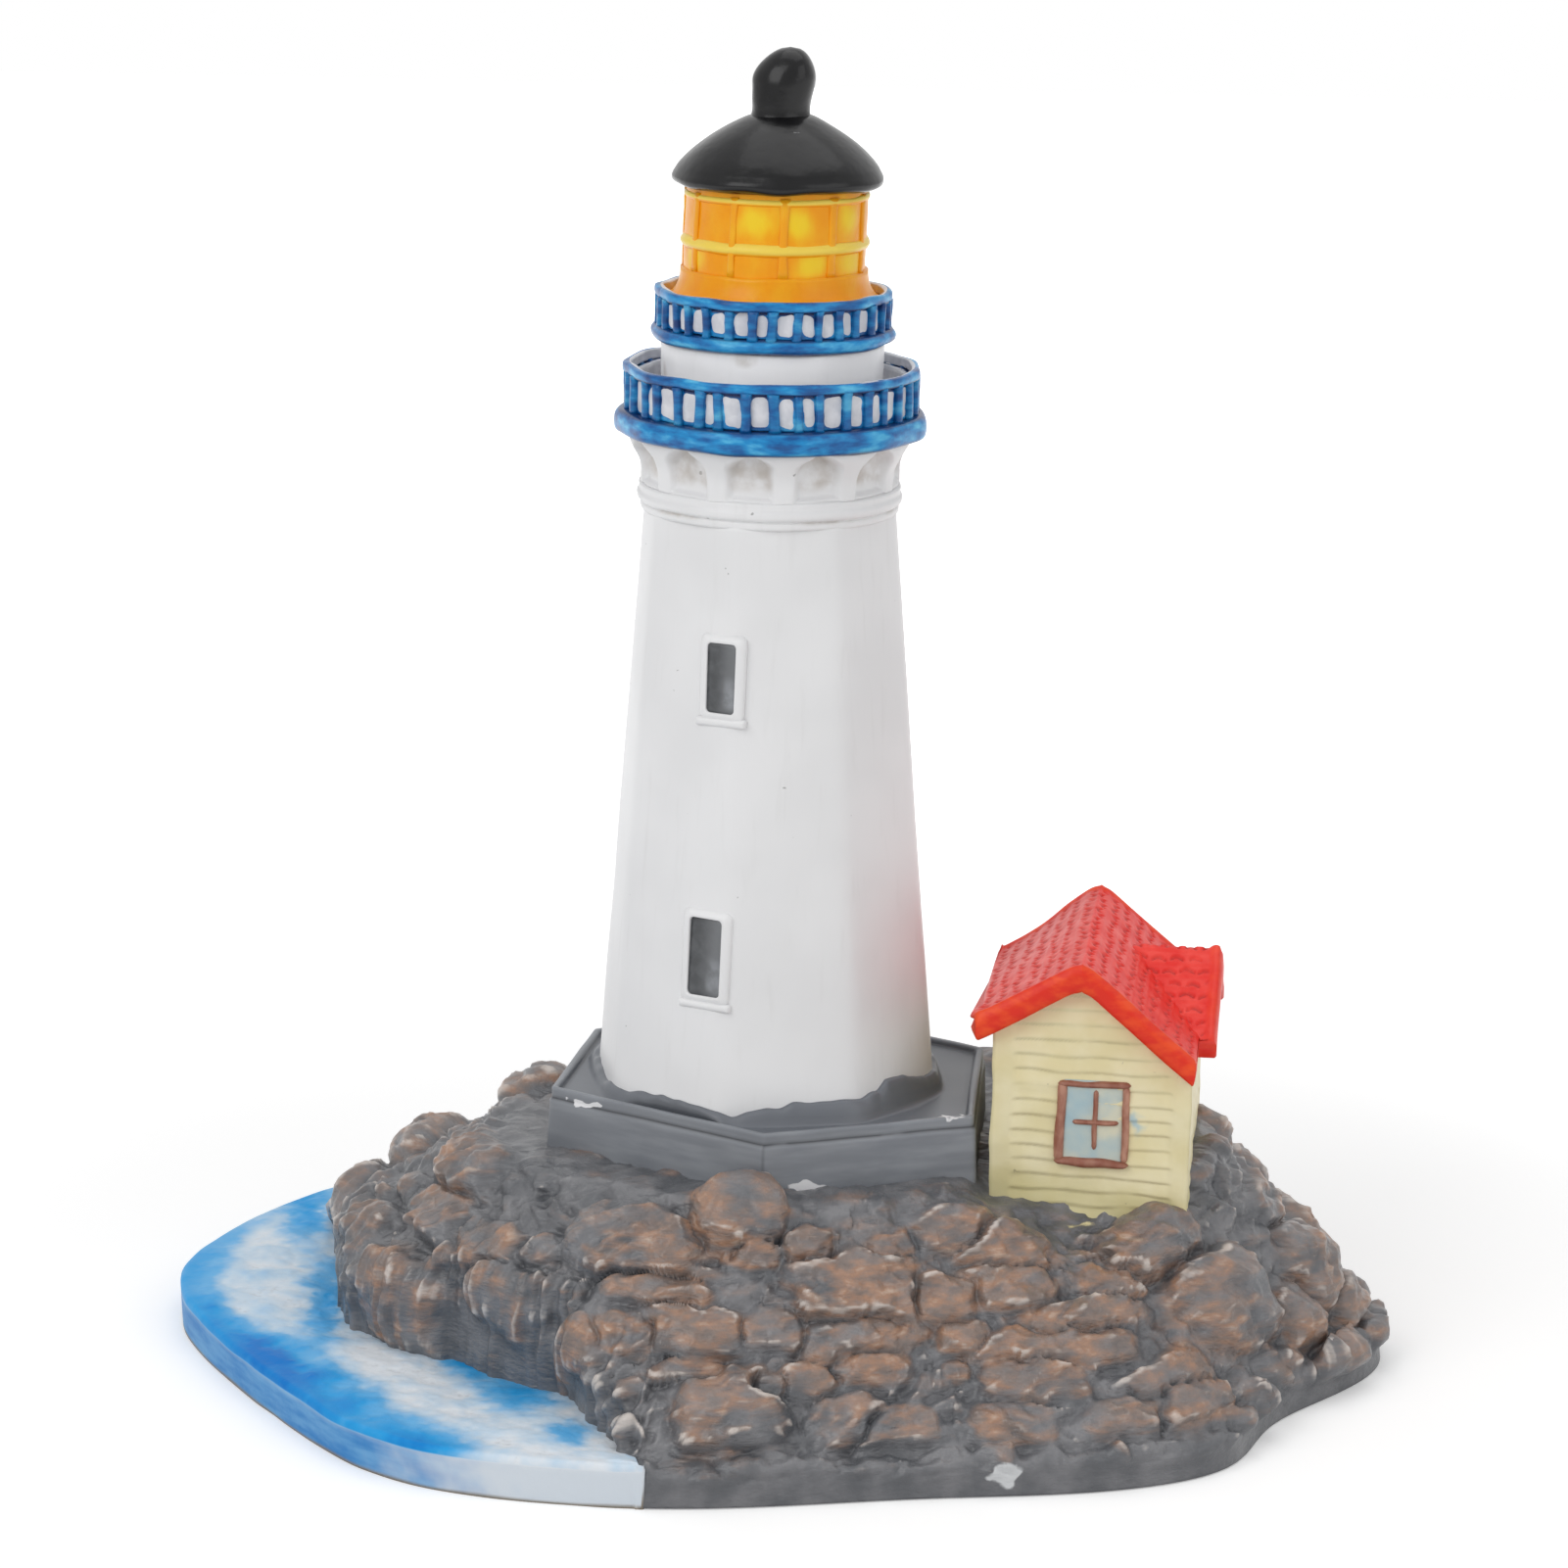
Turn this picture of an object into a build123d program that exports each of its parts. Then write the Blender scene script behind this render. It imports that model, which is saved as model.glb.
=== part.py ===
"""Lighthouse ornament: a white octagonal tower on a rock island, with a keeper's cottage and a strip of sea.

All sizes are in millimetres and degrees. The origin is on the ground under the tower's axis, +X to the right,
+Y to the back and +Z up. Nothing on the ornament moves: every piece beds on the one below it.
"""
import os
from math import atan2, cos, degrees, radians, sin, tan

from build123d import *

os.makedirs("parts", exist_ok=True)

# Island: one oval base, rock on most of it and sea along its left front edge
island_outline = (
    (72, -7), (65, -18), (57, -28), (52, -39), (41, -46), (18, -50), (-8, -54), (-26, -52.5),
    (-40, -47), (-52, -33), (-61, -18), (-68.5, 4), (-63, 22), (-52, 36), (-24, 40), (12, 40), (46, 35), (66, 15),
)
mound_foot = (
    (69, -4), (57, -26), (43, -43), (16, -47), (-18, -50), (-46, -27), (-64, 4), (-50, 30), (8, 34.5), (52, 26),
)
mound_top = (
    (52, 2), (49.5, -11), (38, -15.5), (18, -25), (-6, -28), (-26, -16), (-29, 3), (-24, 16), (4, 29), (42, 18),
)
shoreline = ((-53, 38), (-52, 24), (-49, 6), (-47.5, -12.5), (-34, -23), (-21, -33), (-14.5, -47.5), (-13.5, -56))
shore_margin = 30.0  # how far the sea's cutting outline runs past the island
foot_height = 4.0  # plain upright lip round the bottom of the rock
sea_height = 5.0  # thickness of the sea at its rim
sea_rim_round = 1.2
terrace_height = 25.5  # level top of the rock, where the buildings stand
plinth_seat_depth = 1.5  # how far the plinth is let into the rock
cottage_seat_depth = 6.5  # the cottage is let in further, where the rock begins to fall
seat_clearance = 0.2

# Stones standing out of the slope. A kind is: half length, half width, rise above the slope
stone_kinds = {
    "boulder": (5.6, 4.8, 3.6),
    "block": (4.8, 3.0, 2.3),
    "slab": (6.2, 1.7, 1.9),
    "pebble": (2.5, 1.9, 1.6),
}
# A stone is: direction from the island's centre in degrees from the front to the right, share of the way up the
# slope, size as a multiple of its kind
front_stones = {
    "boulder": (
        (-19.5, 0.97, 0.95), (-12, 0.17, 1.1), (66, 0.58, 1.1), (69, 0.41, 1.25), (88, 0.36, 1.1), (90, 0.12, 0.85),
        (79, 0.2, 0.8), (106, 0.88, 0.6), (-121, 0.93, 0.8), (-112, 0.62, 0.95),
    ),
    "block": (
        (-38, 0.81, 1.4), (-20.5, 0.49, 1.0), (-31, 0.45, 0.65), (8, 0.64, 1.4), (6.5, 0.44, 1.05), (36, 0.85, 0.9),
        (42.5, 0.77, 1.05), (27, 0.58, 0.8), (38.5, 0.61, 1.0), (55.5, 0.58, 0.8), (9.5, 0.33, 0.75), (34.5, 0.26, 1.0),
        (5.5, 0.12, 0.8), (12, 0.08, 0.85), (29, 0.09, 0.85), (42, 0.1, 0.85), (53.5, 0.07, 0.95), (92, 0.68, 0.9),
        (-105, 0.45, 0.9), (-84, 0.87, 1.3), (-87, 0.5, 0.9), (-77, 0.68, 1.0), (-64, 0.66, 0.8), (-73, 0.36, 1.1),
        (-57, 0.5, 0.8), (-40, 0.42, 0.7), (-7.5, 0.49, 0.7),
    ),
    "slab": (
        (-29, 0.62, 0.95), (48, 0.48, 1.1), (40, 0.37, 1.35), (52, 0.21, 1.0), (-19.5, 0.34, 0.6), (55, 0.72, 0.6),
    ),
    "pebble": (
        (-13, 0.8, 0.9), (-1, 0.83, 1.1), (18, 0.8, 1.0), (24, 0.3, 0.7), (-8, 0.25, 1.0), (-1.5, 0.28, 1.1),
        (27, 0.43, 1.1),
    ),
}
# Even courses of blocks behind. A course is: share of the way up, first direction, step, count
back_courses = ((0.24, 106, 23, 6), (0.53, 113, 21, 6), (0.83, 124, 21, 5))
back_stone_size = 1.4
stone_corners = 6
stone_foot_spread = 1.15  # a stone's sunk foot is this much wider than its half sizes
stone_taper = 10.0
stone_sink = 3.5  # how far a stone's foot lies under the slope
stone_size_swing = 0.14  # course stones are this much larger and smaller by turns
island_centre = Vector(6, -5)  # the slope falls away from here

# Plinth under the tower: each corner is an angle from the front, to the right, and a reach past the tower's foot
plinth_corners = ((0, 5.0), (55, 8.8), (110, 7.4), (170, 5.4), (235, 4.9), (290, 6.0))
plinth_height = 8.5
plinth_flare = 0.9  # how much wider the plinth is at its foot, on each side
curb_width = 0.9
curb_height = 0.6

# Tower shaft, with a corner to the front
tower_foot_radius = 20.0  # to the corners, before they are rounded
tower_top_radius = 14.7
tower_height = 67.1
tower_sides = 8
tower_edge_round = 4.0

# Tower windows, on the facet to the left of the front corner
lower_window_rise = 18.6  # centre above the tower's foot
upper_window_rise = 50.1
window_width = 4.0
window_height = 9.0
window_border = 1.0
window_sill_drop = 1.0
window_proud = 0.45
window_sunk = 1.2
pane_thickness = 0.6

# Head of the tower: neck ring, corbels and the lower gallery
neck_overhang = 0.3
neck_height = 2.5
corbel_count = 12
corbel_width = 3.2
corbel_height = 5.5
corbel_drum_setback = 0.9
corbel_foot_reach = 0.8  # from the drum, at the corbel's foot and at its top
corbel_reach = 2.1
corbel_foot_drop = 4.8  # how far down the drum a corbel starts
lower_deck_overhang = 1.7
lower_deck_thickness = 2.8
lower_parapet_setback = 1.5
lower_parapet_height = 3.9
lower_baluster_count = 36
parapet_thickness = 1.2
deck_edge_round = 0.8

# Rails and balusters, the same section on both galleries
rail_height = 1.2
rail_overhang = 0.6
rail_lap = 0.4  # how much of the parapet's top the rail covers
rail_edge_round = 0.35
baluster_width = 1.2
baluster_depth = 0.4
fit_gap = 0.1  # between curved faces that lie on each other

# Watch room and the upper gallery
watch_room_radius = 12.6
watch_room_height = 7.7
upper_deck_overhang = 1.2
upper_deck_thickness = 1.8
upper_parapet_setback = 1.05
upper_parapet_height = 2.9
upper_baluster_count = 32

# Lantern
lantern_flange_height = 0.9
lantern_base_height = 3.4  # above the parapet, flange included
lantern_radius = 10.1
lantern_height = 8.7
mullion_count = 11
mullion_width = 0.9
mullion_proud = 0.3
transom_rise = 2.3
transom_height = 1.4
transom_proud = 0.6
head_ring_height = 0.9

# Lantern roof and finial
roof_radius = 11.8
roof_height = 8.2
roof_neck_radius = 3.9
roof_rim_height = 2.6  # lower lip, from the underside to where the bell begins
roof_rim_round = 1.0
roof_shoulder = 0.6  # share of the bell's height reached half way out
finial_foot_radius = 3.3
finial_radius = 3.5
finial_height = 7.5

# Cottage: turned a little, beside the plinth, with a lopsided roof and a cross gable on its right
cottage_gap = 1.2  # between the plinth's right front corner and the cottage
cottage_front_y = -17.0
cottage_turn = -7.0
cottage_width = 22.0
cottage_depth = 32.0
cottage_ridge_rise = 29.5  # wall top under the ridge, above the cottage's foot
cottage_ridge_x = 9.6  # from the left wall
left_slope = 30.0
right_slope = 40.0
clapboard_pitch = 1.75
clapboard_lap = 0.25
corner_board_width = 1.9
corner_board_proud = 0.15
cottage_roof_thickness = 2.8  # measured upright
verge_overhang = 2.0  # front and back
left_eave_overhang = 2.0
right_eave_overhang = 0.5
wing_ridge_setback = 11.0  # from the back wall
wing_half_width = 11.5
wing_slope = 32.0
wing_overhang = 2.6

# Cottage window
cottage_window_x = 11.2  # centre from the left wall
cottage_window_rise = 13.5  # centre above the cottage's foot
cottage_window_width = 8.2
cottage_window_height = 10.4
cottage_window_border = 1.1
cottage_window_bar = 0.8
cottage_sill_height = 1.2
cottage_sill_overhang = 0.6

# Levels worked out from the sizes above, from the ground up
plinth_foot_z = terrace_height - plinth_seat_depth
cottage_foot_z = terrace_height - cottage_seat_depth
plinth_top_z = plinth_foot_z + plinth_height
tower_foot_z = plinth_top_z - curb_height
tower_top_z = tower_foot_z + tower_height
neck_top_z = tower_top_z + neck_height
corbel_top_z = neck_top_z + corbel_height
lower_deck_top_z = corbel_top_z + lower_deck_thickness
watch_room_top_z = lower_deck_top_z + watch_room_height
upper_deck_top_z = watch_room_top_z + upper_deck_thickness
upper_parapet_top_z = upper_deck_top_z + upper_parapet_height
lantern_foot_z = upper_parapet_top_z + lantern_base_height
lantern_top_z = lantern_foot_z + lantern_height
roof_top_z = lantern_top_z + roof_height
finial_top_z = roof_top_z + finial_height

# Radii of the galleries, from the tower's top outwards and inwards
corbel_drum_radius = tower_top_radius - corbel_drum_setback
lower_deck_radius = corbel_drum_radius + corbel_reach + lower_deck_overhang
lower_parapet_radius = lower_deck_radius - lower_parapet_setback
upper_deck_radius = watch_room_radius + upper_deck_overhang
upper_parapet_radius = upper_deck_radius - upper_parapet_setback


def save(builder, name):
    """Label a finished piece and write it to its own file."""
    builder.part.label = name
    export_step(builder.part, f"parts/{name}.step")


def plinth_point(angle, reach):
    """Corner of the plinth, by its angle from the front and its reach past the tower's foot."""
    radius = tower_foot_radius + reach
    return (radius * sin(radians(angle)), -radius * cos(radians(angle)))


plinth_points = [plinth_point(angle, reach) for angle, reach in plinth_corners]
cottage_left_x = plinth_points[1][0] + plinth_flare + cottage_gap

# Planes of the cottage: its footprint, and its front gable as seen from the front
cottage_plan = Plane(
    origin=(cottage_left_x, cottage_front_y, cottage_foot_z),
    x_dir=(cos(radians(cottage_turn)), sin(radians(cottage_turn)), 0),
    z_dir=(0, 0, 1),
)
cottage_front = Plane(origin=cottage_plan.origin, x_dir=cottage_plan.x_dir, z_dir=-cottage_plan.y_dir)
cottage_side = Plane(origin=cottage_plan.origin, x_dir=cottage_plan.y_dir, z_dir=cottage_plan.x_dir)


# Rock and sea


def outline_points(outline):
    """Closely spaced points on a smooth closed outline."""
    with BuildLine():
        curve = Spline(*outline, periodic=True)
    return [curve.position_at(step / 400) for step in range(400)]


foot_points = outline_points(mound_foot)
top_points = outline_points(mound_top)


def stone(turn, share, half_length, half_width, rise):
    """A block on the slope: a six-cornered foot sunk in the rock, drawn up square to the slope and tapered."""
    outward = Vector(sin(radians(turn)), -cos(radians(turn)))
    level_line = [foot + (top - foot) * share for foot, top in zip(foot_points, top_points)]
    facing = [(point - island_centre).normalized().dot(outward) for point in level_line]
    nearest = facing.index(max(facing))
    upslope = top_points[nearest] - foot_points[nearest] + Vector(0, 0, terrace_height - foot_height)
    place = foot_points[nearest] + Vector(0, 0, foot_height) + upslope * share
    along = level_line[nearest - 1] - level_line[(nearest + 1) % len(level_line)]
    slope = Plane(origin=place, x_dir=along, z_dir=along.cross(upslope))
    corner_angles = [radians(360 * (corner + 0.5) / stone_corners) for corner in range(stone_corners)]
    foot_length, foot_width = stone_foot_spread * half_length, stone_foot_spread * half_width
    corners = [(foot_length * cos(angle), foot_width * sin(angle)) for angle in corner_angles]
    with BuildPart() as block:
        with BuildSketch(slope.offset(-stone_sink)):
            Polygon(*corners, align=None)
        extrude(amount=stone_sink + rise, taper=stone_taper)
    return block.part


stones = [
    stone(turn, share, *(size * length for length in stone_kinds[kind]))
    for kind, places in front_stones.items()
    for turn, share, size in places
]
for share, first_turn, step, count in back_courses:
    for index in range(count):
        size = back_stone_size * (1 + stone_size_swing * (-1) ** index)
        half_length, half_width, rise = stone_kinds["block"]
        stones.append(stone(first_turn + step * index, share, size * half_length, size * half_width, size * rise))

sea_zone = shoreline + (
    (shoreline[-1][0], shoreline[-1][1] - shore_margin),
    (shoreline[0][0] - shore_margin, shoreline[-1][1] - shore_margin),
    (shoreline[0][0] - shore_margin, shoreline[0][1] + shore_margin),
    (shoreline[0][0], shoreline[0][1] + shore_margin),
)

with BuildPart() as rock_base:
    with BuildSketch():
        with BuildLine():
            Spline(*island_outline, periodic=True)
        make_face()
    extrude(amount=foot_height)
    for outline, level in ((mound_foot, foot_height), (mound_top, terrace_height)):
        with BuildSketch(Plane.XY.offset(level)):
            with BuildLine():
                Spline(*outline, periodic=True)
            make_face()
    loft()
    add(stones)
    split(bisect_by=Plane.XY, keep=Keep.TOP)
    with BuildSketch():
        Polygon(*sea_zone, align=None)
    extrude(amount=tower_foot_z, mode=Mode.SUBTRACT)
    with BuildSketch(Plane.XY.offset(plinth_foot_z)):
        Polygon(*plinth_points, align=None)
        offset(amount=plinth_flare + seat_clearance, kind=Kind.INTERSECTION)
    extrude(amount=terrace_height, mode=Mode.SUBTRACT)
    with BuildSketch(cottage_plan):
        Rectangle(cottage_width, cottage_depth, align=Align.MIN)
        offset(amount=corner_board_proud + seat_clearance, kind=Kind.INTERSECTION)
    extrude(amount=terrace_height, mode=Mode.SUBTRACT)
save(rock_base, "rock_base")

with BuildPart() as sea:
    with BuildSketch():
        with BuildLine():
            Spline(*island_outline, periodic=True)
        make_face()
    extrude(amount=sea_height)
    fillet(sea.faces().sort_by(Axis.Z)[-1].edges(), radius=sea_rim_round)
    with BuildSketch():
        Polygon(*sea_zone, align=None)
    extrude(amount=sea_height, mode=Mode.INTERSECT)
save(sea, "sea")


# Plinth and tower shaft

with BuildPart() as plinth:
    for level, spread in ((plinth_foot_z, plinth_flare), (plinth_top_z, 0)):
        with BuildSketch(Plane.XY.offset(level)):
            Polygon(*plinth_points, align=None)
            if spread:
                offset(amount=spread, kind=Kind.INTERSECTION)
    loft(ruled=True)
    with BuildSketch(Plane.XY.offset(tower_foot_z)):
        Polygon(*plinth_points, align=None)
        offset(amount=-curb_width, kind=Kind.INTERSECTION)
        RegularPolygon(tower_foot_radius + fit_gap, tower_sides)
    extrude(amount=curb_height, mode=Mode.SUBTRACT)
save(plinth, "plinth")

# The facet that carries the windows: its direction, its lean and a plane on it at a given rise
facet_angle = radians(180 / tower_sides)
facet_foot = tower_foot_radius * cos(facet_angle)
facet_top = tower_top_radius * cos(facet_angle)
facet_lean = (facet_foot - facet_top) / tower_height
facet_out = Vector(-sin(facet_angle), -cos(facet_angle), 0)


def window_plane(rise):
    """Plane lying on the window facet at a rise above the tower's foot, with its Y up the wall."""
    reach = facet_foot - facet_lean * rise
    normal = (facet_out + Vector(0, 0, facet_lean)).normalized()
    return Plane(
        origin=facet_out * reach + Vector(0, 0, tower_foot_z + rise),
        x_dir=Vector(0, 0, 1).cross(facet_out),
        z_dir=normal,
    )


frame_width = window_width + 2 * window_border
frame_height = window_height + 2 * window_border
window_planes = {"lower": window_plane(lower_window_rise), "upper": window_plane(upper_window_rise)}

with BuildPart() as tower_shaft:
    for level, radius in ((tower_foot_z, tower_foot_radius), (tower_top_z, tower_top_radius)):
        with BuildSketch(Plane.XY.offset(level)) as section:
            RegularPolygon(radius, tower_sides)
            fillet(section.vertices(), tower_edge_round)
    loft(ruled=True)
    for plane in window_planes.values():
        with BuildSketch(plane):
            Rectangle(frame_width, frame_height)
        extrude(amount=-window_sunk, mode=Mode.SUBTRACT)
save(tower_shaft, "tower_shaft")

for name, plane in window_planes.items():
    with BuildPart() as window_frame:
        with BuildSketch(plane.offset(-window_sunk)):
            Rectangle(frame_width, frame_height)
        extrude(amount=window_sunk + window_proud)
        with BuildSketch(plane):
            with Locations((0, -frame_height / 2 + window_sill_drop / 2)):
                Rectangle(frame_width + 2 * window_proud, window_sill_drop)
        extrude(amount=2 * window_proud)
        with BuildSketch(plane.offset(-window_sunk)):
            Rectangle(window_width, window_height)
        extrude(amount=window_sunk + 2 * window_proud, mode=Mode.SUBTRACT)
    save(window_frame, f"{name}_window_frame")

    with BuildPart() as window_pane:
        with BuildSketch(plane.offset(-window_sunk)):
            Rectangle(window_width, window_height)
        extrude(amount=pane_thickness)
    save(window_pane, f"{name}_window_pane")


# Head of the tower

neck_radius = tower_top_radius + neck_overhang

with BuildPart() as neck_ring:
    with BuildSketch(Plane.XZ):
        with BuildLine():
            Polyline((tower_top_radius, tower_top_z), (0, tower_top_z), (0, neck_top_z), (tower_top_radius, neck_top_z))
            ThreePointArc(
                (tower_top_radius, neck_top_z),
                (neck_radius, tower_top_z + neck_height / 2),
                (tower_top_radius, tower_top_z),
            )
        make_face()
    revolve(axis=Axis.Z)
save(neck_ring, "neck_ring")

with BuildPart() as corbel:
    corbel_foot_z = corbel_top_z - corbel_foot_drop
    corbel_foot = (corbel_drum_radius + corbel_foot_reach, corbel_foot_z)
    corbel_lip = (corbel_drum_radius + corbel_reach, corbel_top_z - corbel_foot_reach)
    with BuildSketch(Plane.XZ):
        with BuildLine():
            Polyline(
                corbel_lip,
                (corbel_drum_radius + corbel_reach, corbel_top_z),
                (corbel_drum_radius / 2, corbel_top_z),
                (corbel_drum_radius / 2, corbel_foot_z),
                corbel_foot,
            )
            RadiusArc(corbel_foot, corbel_lip, -corbel_foot_drop)
        make_face()
    extrude(amount=corbel_width / 2, both=True)

with BuildPart() as corbel_ring:
    with Locations((0, 0, neck_top_z)):
        Cylinder(corbel_drum_radius, corbel_height, align=(Align.CENTER, Align.CENTER, Align.MIN))
    with PolarLocations(0, corbel_count):
        add(corbel.part)
save(corbel_ring, "corbel_ring")


# Galleries: a deck, a parapet and a railing at each level


def gallery_deck(name, radius, bottom_z, thickness):
    """Round deck with a softened edge."""
    with BuildPart() as deck:
        with Locations((0, 0, bottom_z)):
            Cylinder(radius, thickness, align=(Align.CENTER, Align.CENTER, Align.MIN))
        fillet(deck.edges().filter_by(GeomType.CIRCLE), radius=deck_edge_round)
    save(deck, name)


def gallery_parapet(name, radius, bottom_z, height):
    """Low ring wall standing on a deck."""
    with BuildPart() as parapet:
        with BuildSketch(Plane.XY.offset(bottom_z)):
            Circle(radius)
            Circle(radius - parapet_thickness, mode=Mode.SUBTRACT)
        extrude(amount=height)
    save(parapet, name)


def gallery_railing(name, radius, bottom_z, height, count):
    """Handrail over a parapet's outer edge, with balusters down its outside to the deck."""
    inner = radius + fit_gap
    with BuildPart() as railing:
        with BuildSketch(Plane.XY.offset(bottom_z + height)):
            Circle(radius + rail_overhang)
            Circle(radius - rail_lap, mode=Mode.SUBTRACT)
        extrude(amount=rail_height)
        outer_edges = railing.edges().filter_by(GeomType.CIRCLE).sort_by(SortBy.RADIUS)[-2:]
        fillet(outer_edges.sort_by(Axis.Z)[-1], radius=rail_edge_round)
        with BuildSketch(Plane.XY.offset(bottom_z)):
            with PolarLocations(inner + baluster_depth / 2, count):
                Rectangle(baluster_depth, baluster_width)
            Circle(inner, mode=Mode.SUBTRACT)
        extrude(amount=height)
    save(railing, name)


gallery_deck("lower_gallery_deck", lower_deck_radius, corbel_top_z, lower_deck_thickness)
gallery_parapet("lower_parapet", lower_parapet_radius, lower_deck_top_z, lower_parapet_height)
gallery_railing(
    "lower_railing", lower_parapet_radius, lower_deck_top_z, lower_parapet_height, lower_baluster_count
)

with BuildPart() as watch_room:
    with Locations((0, 0, lower_deck_top_z)):
        Cylinder(watch_room_radius, watch_room_height, align=(Align.CENTER, Align.CENTER, Align.MIN))
save(watch_room, "watch_room")

gallery_deck("upper_gallery_deck", upper_deck_radius, watch_room_top_z, upper_deck_thickness)
gallery_parapet("upper_parapet", upper_parapet_radius, upper_deck_top_z, upper_parapet_height)
gallery_railing(
    "upper_railing", upper_parapet_radius, upper_deck_top_z, upper_parapet_height, upper_baluster_count
)


# Lantern: a flared base let into the upper parapet, glazing, glazing bars, roof and finial

lantern_plug_radius = upper_parapet_radius - parapet_thickness - fit_gap
lantern_flange_radius = upper_parapet_radius - rail_lap - fit_gap
lantern_flange_z = upper_parapet_top_z + lantern_flange_height
bar_inner_radius = lantern_radius + fit_gap
lantern_neck_radius = bar_inner_radius + transom_proud

with BuildPart() as lantern_base:
    with BuildSketch(Plane.XZ):
        with BuildLine():
            Polyline(
                (lantern_neck_radius, lantern_foot_z),
                (0, lantern_foot_z),
                (0, upper_deck_top_z),
                (lantern_plug_radius, upper_deck_top_z),
                (lantern_plug_radius, upper_parapet_top_z),
                (lantern_flange_radius, upper_parapet_top_z),
                (lantern_flange_radius, lantern_flange_z),
            )
            TangentArc(
                (lantern_neck_radius, lantern_foot_z),
                (lantern_flange_radius, lantern_flange_z),
                tangent=(0, -1),
            )
        make_face()
    revolve(axis=Axis.Z)
save(lantern_base, "lantern_base")

with BuildPart() as lantern_glazing:
    with Locations((0, 0, lantern_foot_z)):
        Cylinder(lantern_radius, lantern_height, align=(Align.CENTER, Align.CENTER, Align.MIN))
save(lantern_glazing, "lantern_glazing")

with BuildPart() as lantern_frame:
    rings = (
        (transom_rise, transom_height, transom_proud),
        (lantern_height - head_ring_height, head_ring_height, mullion_proud),
    )
    for rise, height, proud in rings:
        with BuildSketch(Plane.XY.offset(lantern_foot_z + rise)):
            Circle(bar_inner_radius + proud)
            Circle(bar_inner_radius, mode=Mode.SUBTRACT)
        extrude(amount=height)
    with BuildSketch(Plane.XY.offset(lantern_foot_z)):
        with PolarLocations(lantern_radius, mullion_count):
            Rectangle(2 * (mullion_proud + fit_gap), mullion_width)
        Circle(bar_inner_radius, mode=Mode.SUBTRACT)
    extrude(amount=lantern_height)
save(lantern_frame, "lantern_frame")

with BuildPart() as lantern_roof:
    roof_rim_z = lantern_top_z + roof_rim_height
    shoulder_radius = (roof_radius + roof_neck_radius) / 2
    shoulder_z = lantern_top_z + roof_rim_height + (roof_height - roof_rim_height) * roof_shoulder
    with BuildSketch(Plane.XZ):
        with BuildLine():
            Polyline(
                (roof_neck_radius, roof_top_z),
                (0, roof_top_z),
                (0, lantern_top_z),
                (roof_radius - roof_rim_round, lantern_top_z),
            )
            ThreePointArc(
                (roof_radius - roof_rim_round, lantern_top_z),
                (roof_radius, lantern_top_z + roof_rim_height / 2),
                (roof_radius - roof_rim_round, roof_rim_z),
            )
            Spline(
                (roof_radius - roof_rim_round, roof_rim_z),
                (shoulder_radius, shoulder_z),
                (roof_neck_radius, roof_top_z),
            )
        make_face()
    revolve(axis=Axis.Z)
save(lantern_roof, "lantern_roof")

with BuildPart() as finial:
    finial_widest_z = finial_top_z - finial_radius
    with BuildSketch(Plane.XZ):
        with BuildLine():
            Polyline(
                (0, finial_top_z), (0, roof_top_z), (finial_foot_radius, roof_top_z), (finial_radius, finial_widest_z)
            )
            RadiusArc((finial_radius, finial_widest_z), (0, finial_top_z), -finial_radius)
        make_face()
    revolve(axis=Axis.Z)
save(finial, "finial")


# Cottage: clapboard walls cut to the gables, main roof, wing roof and window

left_wall_rise = cottage_ridge_rise - cottage_ridge_x * tan(radians(left_slope))
right_wall_rise = cottage_ridge_rise - (cottage_width - cottage_ridge_x) * tan(radians(right_slope))
left_eave_rise = left_wall_rise - left_eave_overhang * tan(radians(left_slope))
right_eave_rise = right_wall_rise - right_eave_overhang * tan(radians(right_slope))
wing_ridge_rise = right_wall_rise + wing_half_width * tan(radians(wing_slope))
wing_ridge_y = cottage_depth - wing_ridge_setback
house_outline = (
    (-left_eave_overhang, 0),
    (cottage_width + right_eave_overhang, 0),
    (cottage_width + right_eave_overhang, right_eave_rise),
    (cottage_ridge_x, cottage_ridge_rise),
    (-left_eave_overhang, left_eave_rise),
)
wing_outline = (
    (wing_ridge_y - wing_half_width, right_wall_rise),
    (wing_ridge_y + wing_half_width, right_wall_rise),
    (wing_ridge_y, wing_ridge_rise),
)


def roof_section(near_eave, ridge, far_eave):
    """Outline of a roof slab, from its underside at the two eaves and the ridge."""
    underside = [near_eave, ridge, far_eave]
    return underside + [(x, rise + cottage_roof_thickness) for x, rise in reversed(underside)]


# The space under the two roofs, out to the eaves, used to cut the walls and the roofs to each other
with BuildPart() as house_space:
    with BuildSketch(cottage_front.offset(verge_overhang)):
        Polygon(*house_outline, align=None)
    extrude(amount=-cottage_depth - 2 * verge_overhang)

with BuildPart() as wing_space:
    with BuildSketch(cottage_side.offset(cottage_ridge_x)):
        Polygon(*wing_outline, align=None)
    extrude(amount=cottage_width - cottage_ridge_x + wing_overhang)

with BuildPart() as roofed_space:
    add(house_space.part)
    add(wing_space.part)

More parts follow.
